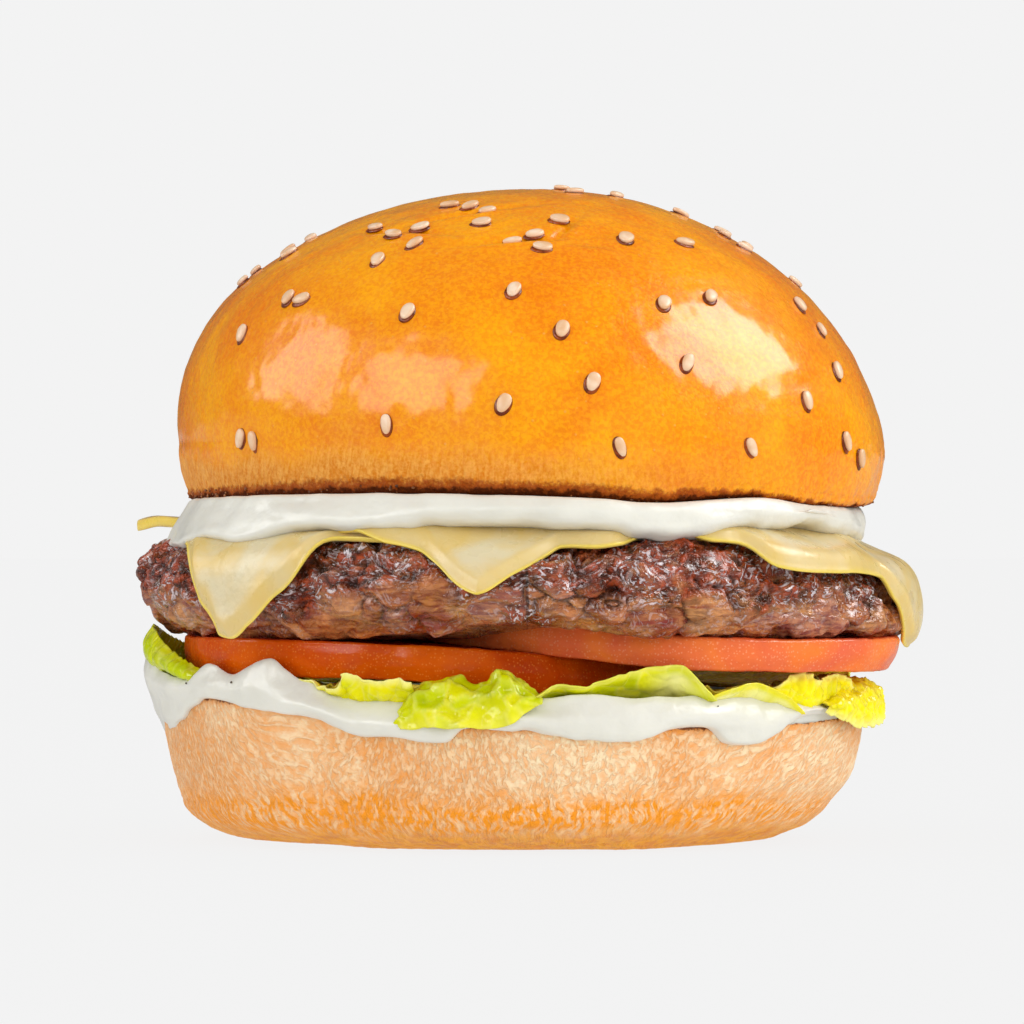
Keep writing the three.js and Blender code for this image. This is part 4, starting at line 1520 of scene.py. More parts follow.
@dataclass
class Heel(Layer):
    """The heel: a pale bun side with a rounded foot, under the sauce."""

    name: str = "heel"
    nodes: tuple[str, ...] = ("bun_heel",)
    slot: Slot | None = Slot.HEEL
    radius: float = 54.8
    x: float = -3.0
    flat: float = 33.0  # radius of the spot it stands on
    foot: float = 6.5  # height of the rounded foot
    foot_radius: float = 51.4
    lip: float = 0.9  # rounding of the cut rim
    middle: float = 20.2  # height of the cut face's middle
    swell: float = 0.5  # of the side, half-way up
    drawn_in: float = 2.7  # how far the foot is drawn in on the right
    shift: float = 2.4  # of the flat spot towards +X
    wrinkle: float = 0.13  # height of the wrinkles along the grain
    skin: Texture = Texture(((0.3, 15.0, 2, 23), (0.07, 1.4, 2, 24)))
    steps: int = 640
    wobble: Ripple = Ripple(((2, 0.5, 40), (3, 0.35, 200), (5, 0.2, 75)))
    rim: Loop = Loop((  # height of the cut rim
        (-150, 21.4), (-110, 21.8), (-75, 22.3), (-55, 23.0), (-33, 21.4), (-18, 20.2), (-4, 19.5),
        (15, 19.4), (33, 19.1), (55, 19.7), (80, 20.3), (115, 20.8), (150, 21.2),
    ))
    slant: Loop = Loop((  # how the wrinkles lean
        (-120, 0.2), (-80, 0.5), (-50, -0.5), (-25, 0.15), (0, -0.1), (30, 0.2), (52, 0.75), (80, 0.9),
        (130, 0.3), (170, -0.3),
    ))

    def face(self, radius: Array, azimuth: Array) -> Array:
        """Height of the cut face: level in the middle, meeting the rim at its radius."""
        share = np.clip(radius / (self.radius - self.lip), 0.0, 1.0) ** 2
        return mix(self.middle, self.rim(azimuth), share)

    def side(self, z: Array, azimuth: Array) -> Array:
        """Radius of the side: from the foot's to the rim's, with a swell of half a sine.

        Args:
            z: Heights.
            azimuth: In radians.

        Returns:
            The radius at each height.
        """
        share = (z - self.foot) / (self.rim(azimuth) - self.lip - self.foot)
        swell = self.swell * np.sin(np.pi * np.clip(share, 0.0, 1.0))
        even = mix(self.foot_radius, self.radius, share) + swell
        return even + self.wobble(azimuth) - self.tuck(z, azimuth)

    def tuck(self, z: Array, azimuth: Array) -> Array:
        """How far the foot is drawn in on the right."""
        low = smooth(11.0, 3.0, np.asarray(z, float))
        return self.drawn_in * low * smooth(0.2, 1.0, np.sin(azimuth))

    def surface(self) -> Surface:
        """Flat spot, rounded foot, side, lip and cut face, with fine wrinkles along the grain.

        Returns:
            Rows from the middle of the flat spot to the middle of the cut face.
        """
        azimuth = azimuths(self.steps)
        wobble, rim = self.wobble(azimuth), self.rim(azimuth)
        rows: list[tuple[Any, Any]] = [(0.0, 0.0), (16.0, 0.0), (28.0, 0.0)]
        for angle in np.radians(np.linspace(0.0, 90.0, 44)):
            z = self.foot * (1 - np.cos(angle))
            edge = self.foot_radius + wobble - self.tuck(z, azimuth)
            rows.append((mix(self.flat, edge, np.sin(angle)), z))
        for share in np.linspace(0.0, 1.0, 64)[1:]:
            z = mix(self.foot, rim - self.lip, share)
            rows.append((self.side(z, azimuth), z))
        for angle in np.radians([25, 50, 75, 90]):
            edge = self.radius - self.lip * (1 - np.cos(angle)) + wobble
            rows.append((edge, rim - self.lip * (1 - np.sin(angle))))
        rows += [(r, self.face(np.array(r), azimuth)) for r in (51.0, 40.0, 26.0, 12.0)]
        rows.append((0.0, self.middle))
        grid = turned(rows, azimuth, self.x)
        z = grid[..., 2]
        grid[..., 0] += self.shift * smooth(1.4, 0.0, z)
        lean = azimuth - z * self.slant(azimuth) / self.radius
        lean = lean + 0.016 * fractal(grid / 4.0, 2, 21)
        grain = around(self.radius, lean, 0.6 * z)
        wrinkle = 1.0 - np.abs(noise(grain / 1.6, 22))
        amount = self.skin(grid) + self.wrinkle * wrinkle
        grid = lifted(grid, amount * between(len(rows), (3, 16), (5, 9)))
        height = z + 1.2 * noise(grid / 6.0, 25)
        band = bell(height, 6.2, 2.6) * smooth(-0.2, 0.6, np.cos(azimuth)) + 0.5 * bell(height, 4.0, 2.0)
        band = band + 0.25 * smooth(0.0, -0.5, np.sin(azimuth))
        return round_surface(
            grid, grain=grain, band=np.clip(band, 0.0, 1.0), base=smooth(4.6, 1.2, height),
            cut=smooth(1.9, 0.2, rim - z),
        )


@dataclass
class Patty(Layer):
    """The beef patty: minced crumbs pressed into a thick disc with a ragged rim."""

    name: str = "patty"
    nodes: tuple[str, ...] = ("beef_patty",)
    slot: Slot | None = Slot.BEEF
    radius: float = 59.4
    x: float = -0.4
    top: float = 46.2
    ledge: float = 37.0  # radius of the part that lies on the upper tomato slice
    ledge_at: tuple[float, float] = (19.4, -10.6)
    lump: Triple = (8.0, 8.0, 4.6)  # size of the lumps of mince
    strand: Triple = (2.8, 2.8, 1.8)  # of the strands in them
    crumb: float = 1.25  # of the crumbs
    grit: float = 0.8  # and of the finest grain
    reach: tuple[float, float] = (-1.8, 1.2)  # from the deepest pit to the highest crumb
    # How large the rounding is above and below, round the rim.
    shoulder: Loop = Loop(((-150, 8), (-60, 8), (30, 8), (48, 10), (65, 13.5), (110, 13.5), (135, 8)))
    foot: Loop = Loop(((-150, 8), (-95, 10.5), (-60, 8.5), (-30, 7.5), (60, 7.5), (90, 7.5)))
    steps: int = 900
    outline: Ripple = Ripple(((2, 0.4, 180), (3, 0.5, 60), (5, 0.55, 310), (9, 0.35, 120)))
    crest: Loop = Loop((  # height of the upper rim above the top
        (-150, 0), (-60, 0), (-31, 0.3), (-20, 0.2), (-6, 0), (8, -0.6), (16, 0.2), (25, 1.2), (36, 0.1),
        (48, -0.8), (62, -1.7), (105, -1.7), (130, 0.2),
    ))
    under: Loop = Loop((  # height of the underside at the rim
        (-150, 32.0), (-110, 31.8), (-90, 31.2), (-67, 31.5), (-49, 31.6), (-37, 31.5), (-25, 32.4),
        (-13.5, 32.9), (-10.5, 33.4), (-8, 34.3), (0, 34.3), (5, 33.8), (11, 33.2), (17, 32.3), (26, 32.1),
        (44, 31.7), (57, 31.6), (80, 30.7), (110, 31.2), (140, 32.0),
    ))

    def underside(self, x: Array, y: Array) -> Array:
        """Height of the underside: on the left tomato slice, stepping up on to the right one.

        Args:
            x: Places.
            y: Places.

        Returns:
            The tomatoes' seam, raised by the right slice's thickness where it lies.
        """
        inside = self.ledge - np.hypot(x - self.ledge_at[0], y - self.ledge_at[1])
        step = np.maximum(smooth(-6.0, 2.0, inside), smooth(-2.0, 14.0, x))
        return tomato_seam(x) - 0.1 + RIGHT_SLICE_THICKNESS * step

    def surface(self) -> Surface:
        """Quarter ellipses for foot and shoulder, pushed out and in by the mince.

        Returns:
            Rows from the middle of the underside to the middle of the top.
        """
        azimuth = azimuths(self.steps)
        radius = self.radius + self.outline(azimuth)
        widest = mix(0.68, 0.2, 0.5 + 0.5 * np.sin(azimuth))
        crest, foot = self.top + self.crest(azimuth), self.foot(azimuth)

        def floor(r: Array) -> Array:
            """Underside at a radius."""
            inner = self.underside(self.x + r * np.sin(azimuth), -r * np.cos(azimuth))
            return mix(inner, self.under(azimuth), smooth(38.0, 50.0, r))

        level = mix(floor(radius - foot), crest, widest)
        shares = (0.0, 0.35, 0.65, 0.85, 0.95)
        rows = [(share * (radius - foot), floor(share * (radius - foot))) for share in shares]
        for angle in np.radians(np.linspace(0.0, 90.0, 32)):
            r = radius - foot * (1.0 - np.sin(angle))
            rows.append((r, mix(floor(r), level, 1.0 - np.cos(angle))))
        for angle in np.radians(np.linspace(0.0, 90.0, 34))[1:]:
            r = radius - self.shoulder(azimuth) * (1.0 - np.cos(angle))
            rows.append((r, mix(level, crest, np.sin(angle))))
        rows += [(0.8 * radius, self.top), (0.5 * radius, self.top), (0.0, self.top)]
        grid = turned(rows, azimuth, self.x)
        amount, named = self.mince(grid)
        grid = lifted(grid, amount * between(len(rows), (3, 9), (2, 7)))
        smear = around(self.radius, 0.45 * np.broadcast_to(azimuth, grid.shape[:-1]), 1.6 * grid[..., 2])
        return round_surface(grid, smear=smear, **named)

    def mince(self, grid: Array) -> tuple[Array, dict[str, Array]]:
        """Lumps, strands and crumbs of mince, rougher where the patty is seared.

        Args:
            grid: Points of the even surface.

        Returns:
            How far each point moves out: cells that stand up from their borders, ridges of
            0.4 - |noise| in two sizes and a fine grain, less the crevices; and the named values.
        """
        sear = smooth(36.5, 40.5, grid[..., 2] + 4.0 * fractal(grid / 9.0, 2, 44))
        warped = grid + 1.5 * np.stack([fractal(grid / 4.0, 2, 30 + k) for k in range(3)], axis=-1)
        near, next_near, lump = cells(warped / np.array(self.lump), 42)
        lumps = 1.1 * smooth(0.0, 0.5, next_near - near) - 0.75 + 0.5 * noise(warped / self.lump[2], 35)
        folds = 0.4 - np.abs(noise(warped / np.array(self.strand), 38))
        crumbs = 0.4 - np.abs(noise(warped / self.crumb, 39))
        crevice = smooth(0.09, 0.0, next_near - near) * smooth(-0.3, 0.3, noise(grid / 6.0, 37))
        rough = mix(0.3, 1.0, sear)
        amount = lumps + rough * (0.9 * folds + 0.6 * crumbs)
        amount = amount + 0.12 * noise(warped / self.grit, 40) - 0.8 * crevice
        hollow = folds + 0.5 * crumbs
        # Where the finish paints shade: the hollows and crevices of the mince.
        crevice_shade = np.clip(rough * smooth(0.0, -0.5, hollow) + 0.8 * crevice, 0.0, 1.0)
        bead = warped * np.array([0.85, 0.85, 1.3])
        return np.clip(amount, *self.reach), {"crevice_shade": crevice_shade, "sear": sear, "lump": lump, "bead": bead}


@dataclass(frozen=True)
class Fold:
    """How a slice turns down past a line: its lean in degrees at each length past the line."""

    stations: tuple[tuple[float, float], ...] = ((0.0, 0.0), (7.7, 80.0))
    reach: float = 45.0
    step: float = 0.05

    def __call__(self, past: Array) -> tuple[Array, Array, Array]:
        """Follows the slice out from the line.

        Args:
            past: Length past the line.

        Returns:
            How far it reaches out, the sum of the cosines of its lean, how far it falls, the sum of
            the sines, and its lean in radians.
        """
        length = np.arange(0.0, self.reach, self.step)
        lean = np.radians(np.interp(length, *zip(*self.stations)))
        columns = np.cumsum(np.cos(lean)) * self.step, np.cumsum(np.sin(lean)) * self.step, lean
        return tuple(np.interp(past, length, column) for column in columns)


@dataclass(frozen=True)
class Brim:
    """A stretch of the patty's round rim that a slice drapes over."""

    fold: Fold = Fold()
    start: float = 54.5
    share: Loop = Loop(((-90, 1.0), (0, 1.0), (90, 1.0)))


@dataclass(frozen=True)
class Corner:
    """A corner of a cheese slice that folds down over a straight crease."""

    azimuth: float
    crease: float = 54.0  # distance of the crease from the burger's axis
    fold: Fold = Fold()
    pull: float = 1.0  # how far the hanging part has stretched
    narrow: tuple[float, float] = (27.0, 27.0)  # degrees to its left and right where it ends


@dataclass
class CheeseSlice(Layer):
    """A square cheese slice draped over the patty: level, round a bend, then hanging."""

    slot: Slot | None = Slot.CHEESE
    x: float = 0.0
    y: float = 0.0
    turn: float = 0.0  # in degrees
    half: tuple[float, float] = (48.0, 48.0)  # half of each side
    corners: tuple[Corner, ...] = ()
    outline: Loop = Loop(((-90, 50.0), (0, 50.0), (90, 50.0)))  # how far its edge reaches
    melted: Loop = Loop(((-90, 0.0), (0, 0.0), (90, 0.0)))  # where that holds, and not the square
    lies_on: CheeseSlice | None = None
    thickness: float = 1.7
    brims: tuple[Brim, ...] = (Brim(),)
    lift: float = 0.1
    top: float = Patty.top  # height of what it lies on
    edge: float = 0.4  # radius of its rounded edges
    ragged: float = 0.35  # waves of its sides
    dent: float = 0.22  # depth of its shallow dents
    bevel: float = 0.35  # thickness left where it has melted to a thin edge
    border: float = 2.2  # and how far in it thins
    steps: int = 170
    seed: int = 50

    def inside(self, x: Array, y: Array) -> Array:
        """How deep a point lies inside the slice's outline, below 0 outside it.

        Args:
            x: Flat places.
            y: Flat places.

        Returns:
            The distance to the nearest side of the turned square.
        """
        angle = math.radians(self.turn)
        dx, dy = x - self.x, y - self.y
        across = np.abs(dx * math.cos(angle) + dy * math.sin(angle))
        along = np.abs(dy * math.cos(angle) - dx * math.sin(angle))
        return np.minimum(self.half[0] - across, self.half[1] - along)

    def drape(self, x: Array, y: Array, height: Array) -> tuple[Array, Array]:
        """Lays flat points over the patty's rim.

        Args:
            x: Flat places.
            y: Flat places.
            height: Height of the slice's underside above what it drapes over.

        Returns:
            The places and the way the upper face looks.  The slice bends over the rim's circle,
            except at the corners, which fold over straight creases.
        """
        reach, azimuth = np.hypot(x, y), np.arctan2(x, -y)
        place, face, total = 0.0, 0.0, 0.0
        for brim in self.brims:
            out, fall, lean = brim.fold(np.maximum(reach - brim.start, 0.0))
            share = np.clip(brim.share(azimuth), 0.0, 1.0)[..., None]
            place = place + share * around(np.minimum(reach, brim.start) + out, azimuth, self.top - fall)
            face = face + share * around(np.sin(lean), azimuth, np.cos(lean))
            total = total + share
        place = place / total
        for corner in self.corners:
            turn = math.radians(corner.azimuth)
            ahead, aside = (around(1.0, np.array(a), 0.0) for a in (turn, turn + 0.5 * math.pi))
            forward = x * ahead[0] + y * ahead[1]
            sideways = (x * aside[0] + y * aside[1])[..., None] * aside
            out, fall, lean = corner.fold(corner.pull * np.maximum(forward - corner.crease, 0.0))
            folded = (np.minimum(forward, corner.crease) + out)[..., None] * ahead + sideways
            folded[..., 2] = self.top - fall
            away = (np.degrees(azimuth) - corner.azimuth + 180.0) % 360.0 - 180.0
            width = np.where(away < 0.0, *corner.narrow)
            share = smooth(1.0, 0.7, np.abs(away) / width)[..., None]
            place = mix(place, folded, share)
            upright = np.array([0.0, 0.0, 1.0])
            face = mix(face, np.sin(lean)[..., None] * ahead + np.cos(lean)[..., None] * upright, share)
        face = unit(face)
        return place + face * height[..., None], face

    def surface(self) -> Surface:
        """Both faces of the slice, thinning round its edges, soft with shallow dents.

        Returns:
            The sheet, with how near each point is to the edge and to the warm border.
        """
        share = np.linspace(-1.0, 1.0, self.steps)
        spread = 0.4 * share + 0.6 * np.sin(0.5 * np.pi * share)
        u, v = np.meshgrid(spread, spread, indexing="ij")
        corner = 1.0 - 0.02 * (np.abs(u * v)) ** 18
        angle = math.radians(self.turn)
        at = [np.stack([8 * u, 8 * v, 0 * u + self.seed + k], axis=-1) for k in range(2)]
        wave = self.ragged * np.stack([noise(places, 3) for places in at])
        a = self.half[0] * u * corner + wave[0] * np.abs(u) ** 8
        b = self.half[1] * v * corner + wave[1] * np.abs(v) ** 8
        x = self.x + a * math.cos(angle) - b * math.sin(angle)
        y = self.y + a * math.sin(angle) + b * math.cos(angle)
        azimuth = np.arctan2(x, -y)
        both = azimuth, np.hypot(x, y)
        edges = [np.concatenate([g[:, 0], g[-1], g[::-1, -1], g[0, ::-1]]) for g in both]
        own = np.interp(azimuth, *(edge[np.argsort(edges[0])] for edge in edges), period=2.0 * np.pi)
        run = np.clip(self.melted(azimuth), 0.0, 1.0) * (self.outline(azimuth) / own - 1.0)
        stretch = 1.0 + run * np.maximum(np.abs(u), np.abs(v)) ** 3
        x, y = x * stretch, y * stretch
        height = np.full_like(x, self.lift)
        if self.lies_on is not None:
            height = height + self.thickness * smooth(-9.0, -1.0, self.lies_on.inside(x, y))
        place, out = self.drape(x, y, height)
        rim = np.minimum(self.half[0] * (1.0 - np.abs(u)), self.half[1] * (1.0 - np.abs(v)))
        rim = rim * (1.0 + 4.0 * run)
        round_edge = np.sqrt(np.clip(1.0 - (1.0 - np.clip(rim / self.edge, 0.12, 1.0)) ** 2, 0.0, 1.0))
        half = 0.5 * self.thickness * round_edge * (1.0 + 0.1 * noise(place / 5.0, self.seed))
        dents = self.dent * noise(place / 7.0, self.seed + 1)
        middle = place + out * (0.5 * self.thickness + dents)[..., None]
        thinned = mix(self.bevel, 1.0, smooth(0.0, self.border, rim))
        bevel = mix(1.0, thinned, np.clip(self.melted(azimuth), 0.0, 1.0))
        lower = middle - out * half[..., None]
        upper = lower + out * (2.0 * half * bevel)[..., None]
        border = smooth(3.4, 1.8, rim + 0.8 * noise(place / 3.0, self.seed + 2))
        return sheet_surface(upper, lower, edge=smooth(0.5, 0.12, rim), border=border)


def tomato_seam(x: Array) -> Array:
    """Height of the seam between the tomato slices: high on the left, low on the right."""
    return 29.15 - 2.65 * np.tanh((x - 4.0) / 23.0)


@dataclass
class TomatoSlice(Layer):
    """A slice of tomato that follows the seam between the two slices."""

    slot: Slot | None = Slot.TOMATO
    x: float = 0.0
    y: float = 0.0
    radius: float = 38.0
    lobes: Ripple = Ripple(((2, 0.5, 30), (5, 0.45, 100)))
    side: float = 1.0  # 1 above the seam, -1 below it
    taper: float = 0.0  # how much smaller its lower face is towards +X
    shoulder: float = 0.62  # rounding of its upper rim
    foot: float = 0.62  # rounding of its lower rim
    bulge: float = 0.35  # of the skin between them
    thickness: float = 4.8
    steps: int = 480
    seed: int = 60

    def surface(self) -> Surface:
        """Cut faces that meet a slightly bulging skin at softly broken corners.

        Returns:
            A profile of quarter circles and half a sine, turned, with its height on the seam.
        """
        azimuth = azimuths(self.steps)
        edge = self.radius + self.lobes(azimuth)
        low, top = self.foot, self.shoulder
        half = 0.5 * self.thickness
        offset = self.side * 0.5 * self.thickness
        shares = [0.0, 0.3, 0.55, 0.75, 0.88, 0.95]
        profile = [(share * edge, -half) for share in shares]
        profile += [
            (edge - low + low * np.sin(turn), -half + low * (1.0 - np.cos(turn)))
            for turn in np.radians(np.linspace(0.0, 90.0, 7))
        ]
        profile += [
            (edge + self.bulge * np.sin(np.pi * t), mix(low - half, half - top, t))
            for t in np.linspace(0, 1, 16)[1:-1]
        ]
        profile += [
            (edge - top + top * np.cos(turn), half - top * (1.0 - np.sin(turn)))
            for turn in np.radians(np.linspace(0.0, 90.0, 7))
        ]
        profile += [(share * edge, half) for share in reversed(shares)]
        ways = np.sign(self.taper) * np.sin(azimuth)
        slant = np.abs(self.taper) * smooth(-0.2, 0.9, ways) / self.thickness
        rows = [
            (r + slant * (z - half) * r / edge, tomato_seam(self.x + r * np.sin(azimuth)) + offset + z)
            for r, z in profile
        ]
        grid = turned(rows, azimuth, self.x, self.y)
        skin = between(len(rows), (6, 9), (7, 10)) + 0.0 * azimuth
        grit = fractal(grid / 1.6, 2, self.seed + 4)
        amount = 0.16 * fractal(grid / 7.0, 2, self.seed) + 0.1 * (1.0 - skin) * grit
        return round_surface(lifted(grid, amount * between(len(rows), (1, 4), (2, 5))), skin=skin)


@dataclass
class UpperSauce(Layer):
    """Sauce squeezed out under the crown, its lower edge hanging over cheese and patty."""

    name: str = "upper_mayonnaise"
    nodes: tuple[str, ...] = ("sauce_upper",)
    slot: Slot | None = Slot.SAUCE
    crown: Crown = field(default_factory=Crown)
    steps: int = 800
    folds: Texture = Texture(((0.16, (6.0, 6.0, 1.5), 1, 72), (0.14, 3.6, 1, 73), (0.03, 1.2, 1, 74)))
    foot: Loop = Loop((  # height of its lower edge
        (-150, 46.2), (-115, 46.6), (-90, 45.6), (-66, 45.5), (-56, 46.9), (-46, 46.5), (-37, 48.3),
        (-27, 48.2), (-16, 49.1), (-3, 49.1), (8, 48.5), (21, 47.0), (27, 47.1), (33, 48.6), (44, 48.6),
        (50, 49.1), (60, 47.7), (80, 46.4), (100, 46.0), (130, 47.4), (165, 46.4),
    ))
    brink: Loop = Loop((  # radius of the bead
        (-150, 54.8), (-100, 56.2), (-84, 56.8), (-70, 58.8), (-60, 60.1), (-46, 60.6), (-36, 59.6),
        (-26, 58.0), (-8, 57.2), (15, 57.4), (32, 56.8), (46, 55.8), (60, 54.6), (74, 53.0), (90, 51.6),
        (105, 51.8), (130, 54), (170, 55.2),
    ))
    slope: Loop = Loop((  # how far the bead leans in
        (-150, 0.5), (-110, 2.0), (-85, 3.2), (-60, 3.4), (-35, 2.4), (-10, 0.5), (60, 0.2), (120, 0.2),
    ))

    def surface(self) -> Surface:
        """A bulging bead between crown and cheese, with soft folds and blunt drips.

        Returns:
            Rows along a smooth curve from inside below, over the bead, to inside above.
        """
        azimuth = azimuths(self.steps)
        ring = around(56.0, azimuth, 0.0)
        foot = self.foot(azimuth) + 0.25 * noise(ring / 3.0, 70)
        brink = self.brink(azimuth) + 0.3 * noise(ring / 5.0, 71)
        slope = self.slope(azimuth)

        def roof(radius: Array) -> Array:
            """Just under the crown's cut face."""
            return self.crown.face(radius, azimuth) - 0.05

        rows = curve_rows([
            (0.0, 46.4), (40.0, 46.4), (brink - 4.6, foot - 0.7), (brink - 2.2, foot - 0.35),
            (brink - 0.7, foot + 0.45), (brink - 0.05 - 0.3 * slope, foot + 1.7),
            (brink - 0.2 - slope, roof(brink) - 1.2),
            (brink - 1.3 - slope, roof(brink) - 0.05), (brink - 3.6 - slope, roof(brink - 3.6)),
            (38.0, roof(np.array(38.0))), (0.0, self.crown.middle - 0.05),
        ], (2, 4, 6, 9, 11, 16, 12, 8, 3, 2), self.steps)
        grid = turned(rows, azimuth)
        return round_surface(lifted(grid, self.folds(grid) * between(len(rows), (4, 12), (6, 16))))


@dataclass
class LowerSauce(Layer):
    """Sauce over the heel's rim: drips below, and a brow that stands up against the lettuce."""

    name: str = "lower_mayonnaise"
    nodes: tuple[str, ...] = ("sauce_lower",)
    slot: Slot | None = Slot.SAUCE
    heel: Heel = field(default_factory=Heel)
    depth: float = 1.6  # of the layer on the heel
    steps: int = 960
    folds: Texture = Texture(((0.3, (8.0, 8.0, 2.2), 1, 82), (0.16, 3.0, 1, 83), (0.04, 1.0, 1, 84)))
    foot: Loop = Loop((  # height of the drips' lower edge
        (-165, 18.2), (-140, 16.4), (-118, 18.8), (-98, 17.2), (-84, 16.9), (-76, 17.2), (-71, 17.8),
        (-67.5, 18.7), (-64, 19.9), (-61.5, 21.1), (-58.5, 22.0), (-56, 22.5), (-52, 22.6), (-49, 22.2),
        (-45, 21.4), (-32, 20.0), (-24, 17.8), (-19, 17.6), (-10, 16.9), (-7, 18.7), (1, 18.6), (8, 17.6),
        (18, 16.9), (25, 18.6), (31, 18.9), (35, 16.6), (40, 16.0), (45, 17.8), (51, 20.0), (64, 20.2),
        (74, 18.9), (84, 20.2), (105, 18.4), (128, 17.0), (150, 19.4),
    ))
    brow: Loop = Loop((  # height of its upper edge
        (-165, 23.6), (-140, 24.8), (-112, 27.0), (-92, 29.0), (-83, 28.0), (-74, 26.5), (-62, 25.3),
        (-57.5, 27.3), (-54, 27.7), (-49, 26.6), (-41.5, 28.8), (-38.4, 27.4), (-35.6, 25.9), (-32, 24.7),
        (-28.3, 23.3), (-15, 22.6), (10, 23.4), (40, 23.2), (60, 22.4), (85, 21.9), (120, 22.8),
        (150, 22.4),
    ))
    brink: Loop = Loop((  # radius of the brow
        (-165, 54.6), (-140, 56.6), (-112, 58.6), (-92, 59.9), (-72, 59.2), (-45, 57.4), (-28, 55.4),
        (0, 54.9), (30, 54.6), (58, 52.0), (90, 50.0), (130, 53.0),
    ))
    drip: Loop = Loop((  # how far it stands out from the heel
        (-150, 2.0), (-115, 1.2), (-90, 0.4), (-66, 1.0), (-40, 1.8), (20, 2.2), (40, 2.4), (56, 1.4),
        (66, 0.8), (75, 0.8), (95, 0.9), (115, 1.8), (140, 2.2),
    ))
    slim: Loop = Loop((  # how far the belly falls back under the brow
        (-150, 0.1), (-110, 0.9), (-88, 1.3), (-70, 1.2), (-55, 0.4), (-40, 0.0), (60, 0.0), (110, 0.0),
    ))

    def over(self, radius: Array, azimuth: Array) -> Array:
        """Height of the sauce inside its brow."""
        return self.heel.face(radius, azimuth) + GAP + self.depth

    def surface(self) -> Surface:
        """From under the drips, out round their bellies, over the brow and in across the heel.

        Returns:
            Rows along a smooth curve through fifteen stations, with soft folds outside.
        """
        azimuth = azimuths(self.steps)
        heel = self.heel
        ring = around(56.0, azimuth, 0.0)
        foot = self.foot(azimuth) + 0.2 * noise(ring / 2.4, 80)
        brow = self.brow(azimuth) + 0.15 * noise(ring / 3.2, 81)
        brink = self.brink(azimuth) - self.heel.x * np.sin(azimuth)
        lip_z = heel.rim(azimuth) - heel.lip
        skin, drip = heel.side(foot, azimuth), self.drip(azimuth)
        belly = np.maximum(skin + drip, brink + 0.3 * drip - self.slim(azimuth))
        inside = mix(self.over(np.array(50.0), azimuth), brow, 0.3)
        edge = heel.radius + heel.wobble(azimuth) - 0.8
        rows = curve_rows([
            (0.0, heel.middle + 0.05), (36.0, heel.face(np.array(36.0), azimuth) + 0.05),
            (edge, lip_z + heel.lip), (heel.side(lip_z, azimuth) - 0.2, lip_z),
            (skin - 0.25, foot + 0.1), (skin + 0.35 * drip, foot - 0.05),
            (skin + 0.8 * drip, foot + 0.45), (belly, mix(foot, brow, 0.4)),
            (brink + 0.3 * drip, mix(foot, brow, 0.78)),
            (brink - 0.55, brow), (brink - 1.4, mix(inside, brow, 0.8)), (brink - 3.2, inside),
            (brink - 8.0, self.over(brink - 8.0, azimuth)), (26.0, self.over(np.array(26.0), azimuth)),
            (0.0, self.over(np.array(0.0), azimuth)),
        ], (2, 3, 2, 3, 5, 6, 12, 13, 12, 5, 4, 4, 2, 2), self.steps)
        grid = turned(rows, azimuth, heel.x)
        return round_surface(lifted(grid, self.folds(grid) * between(len(rows), (11, 20), (4, 12))))


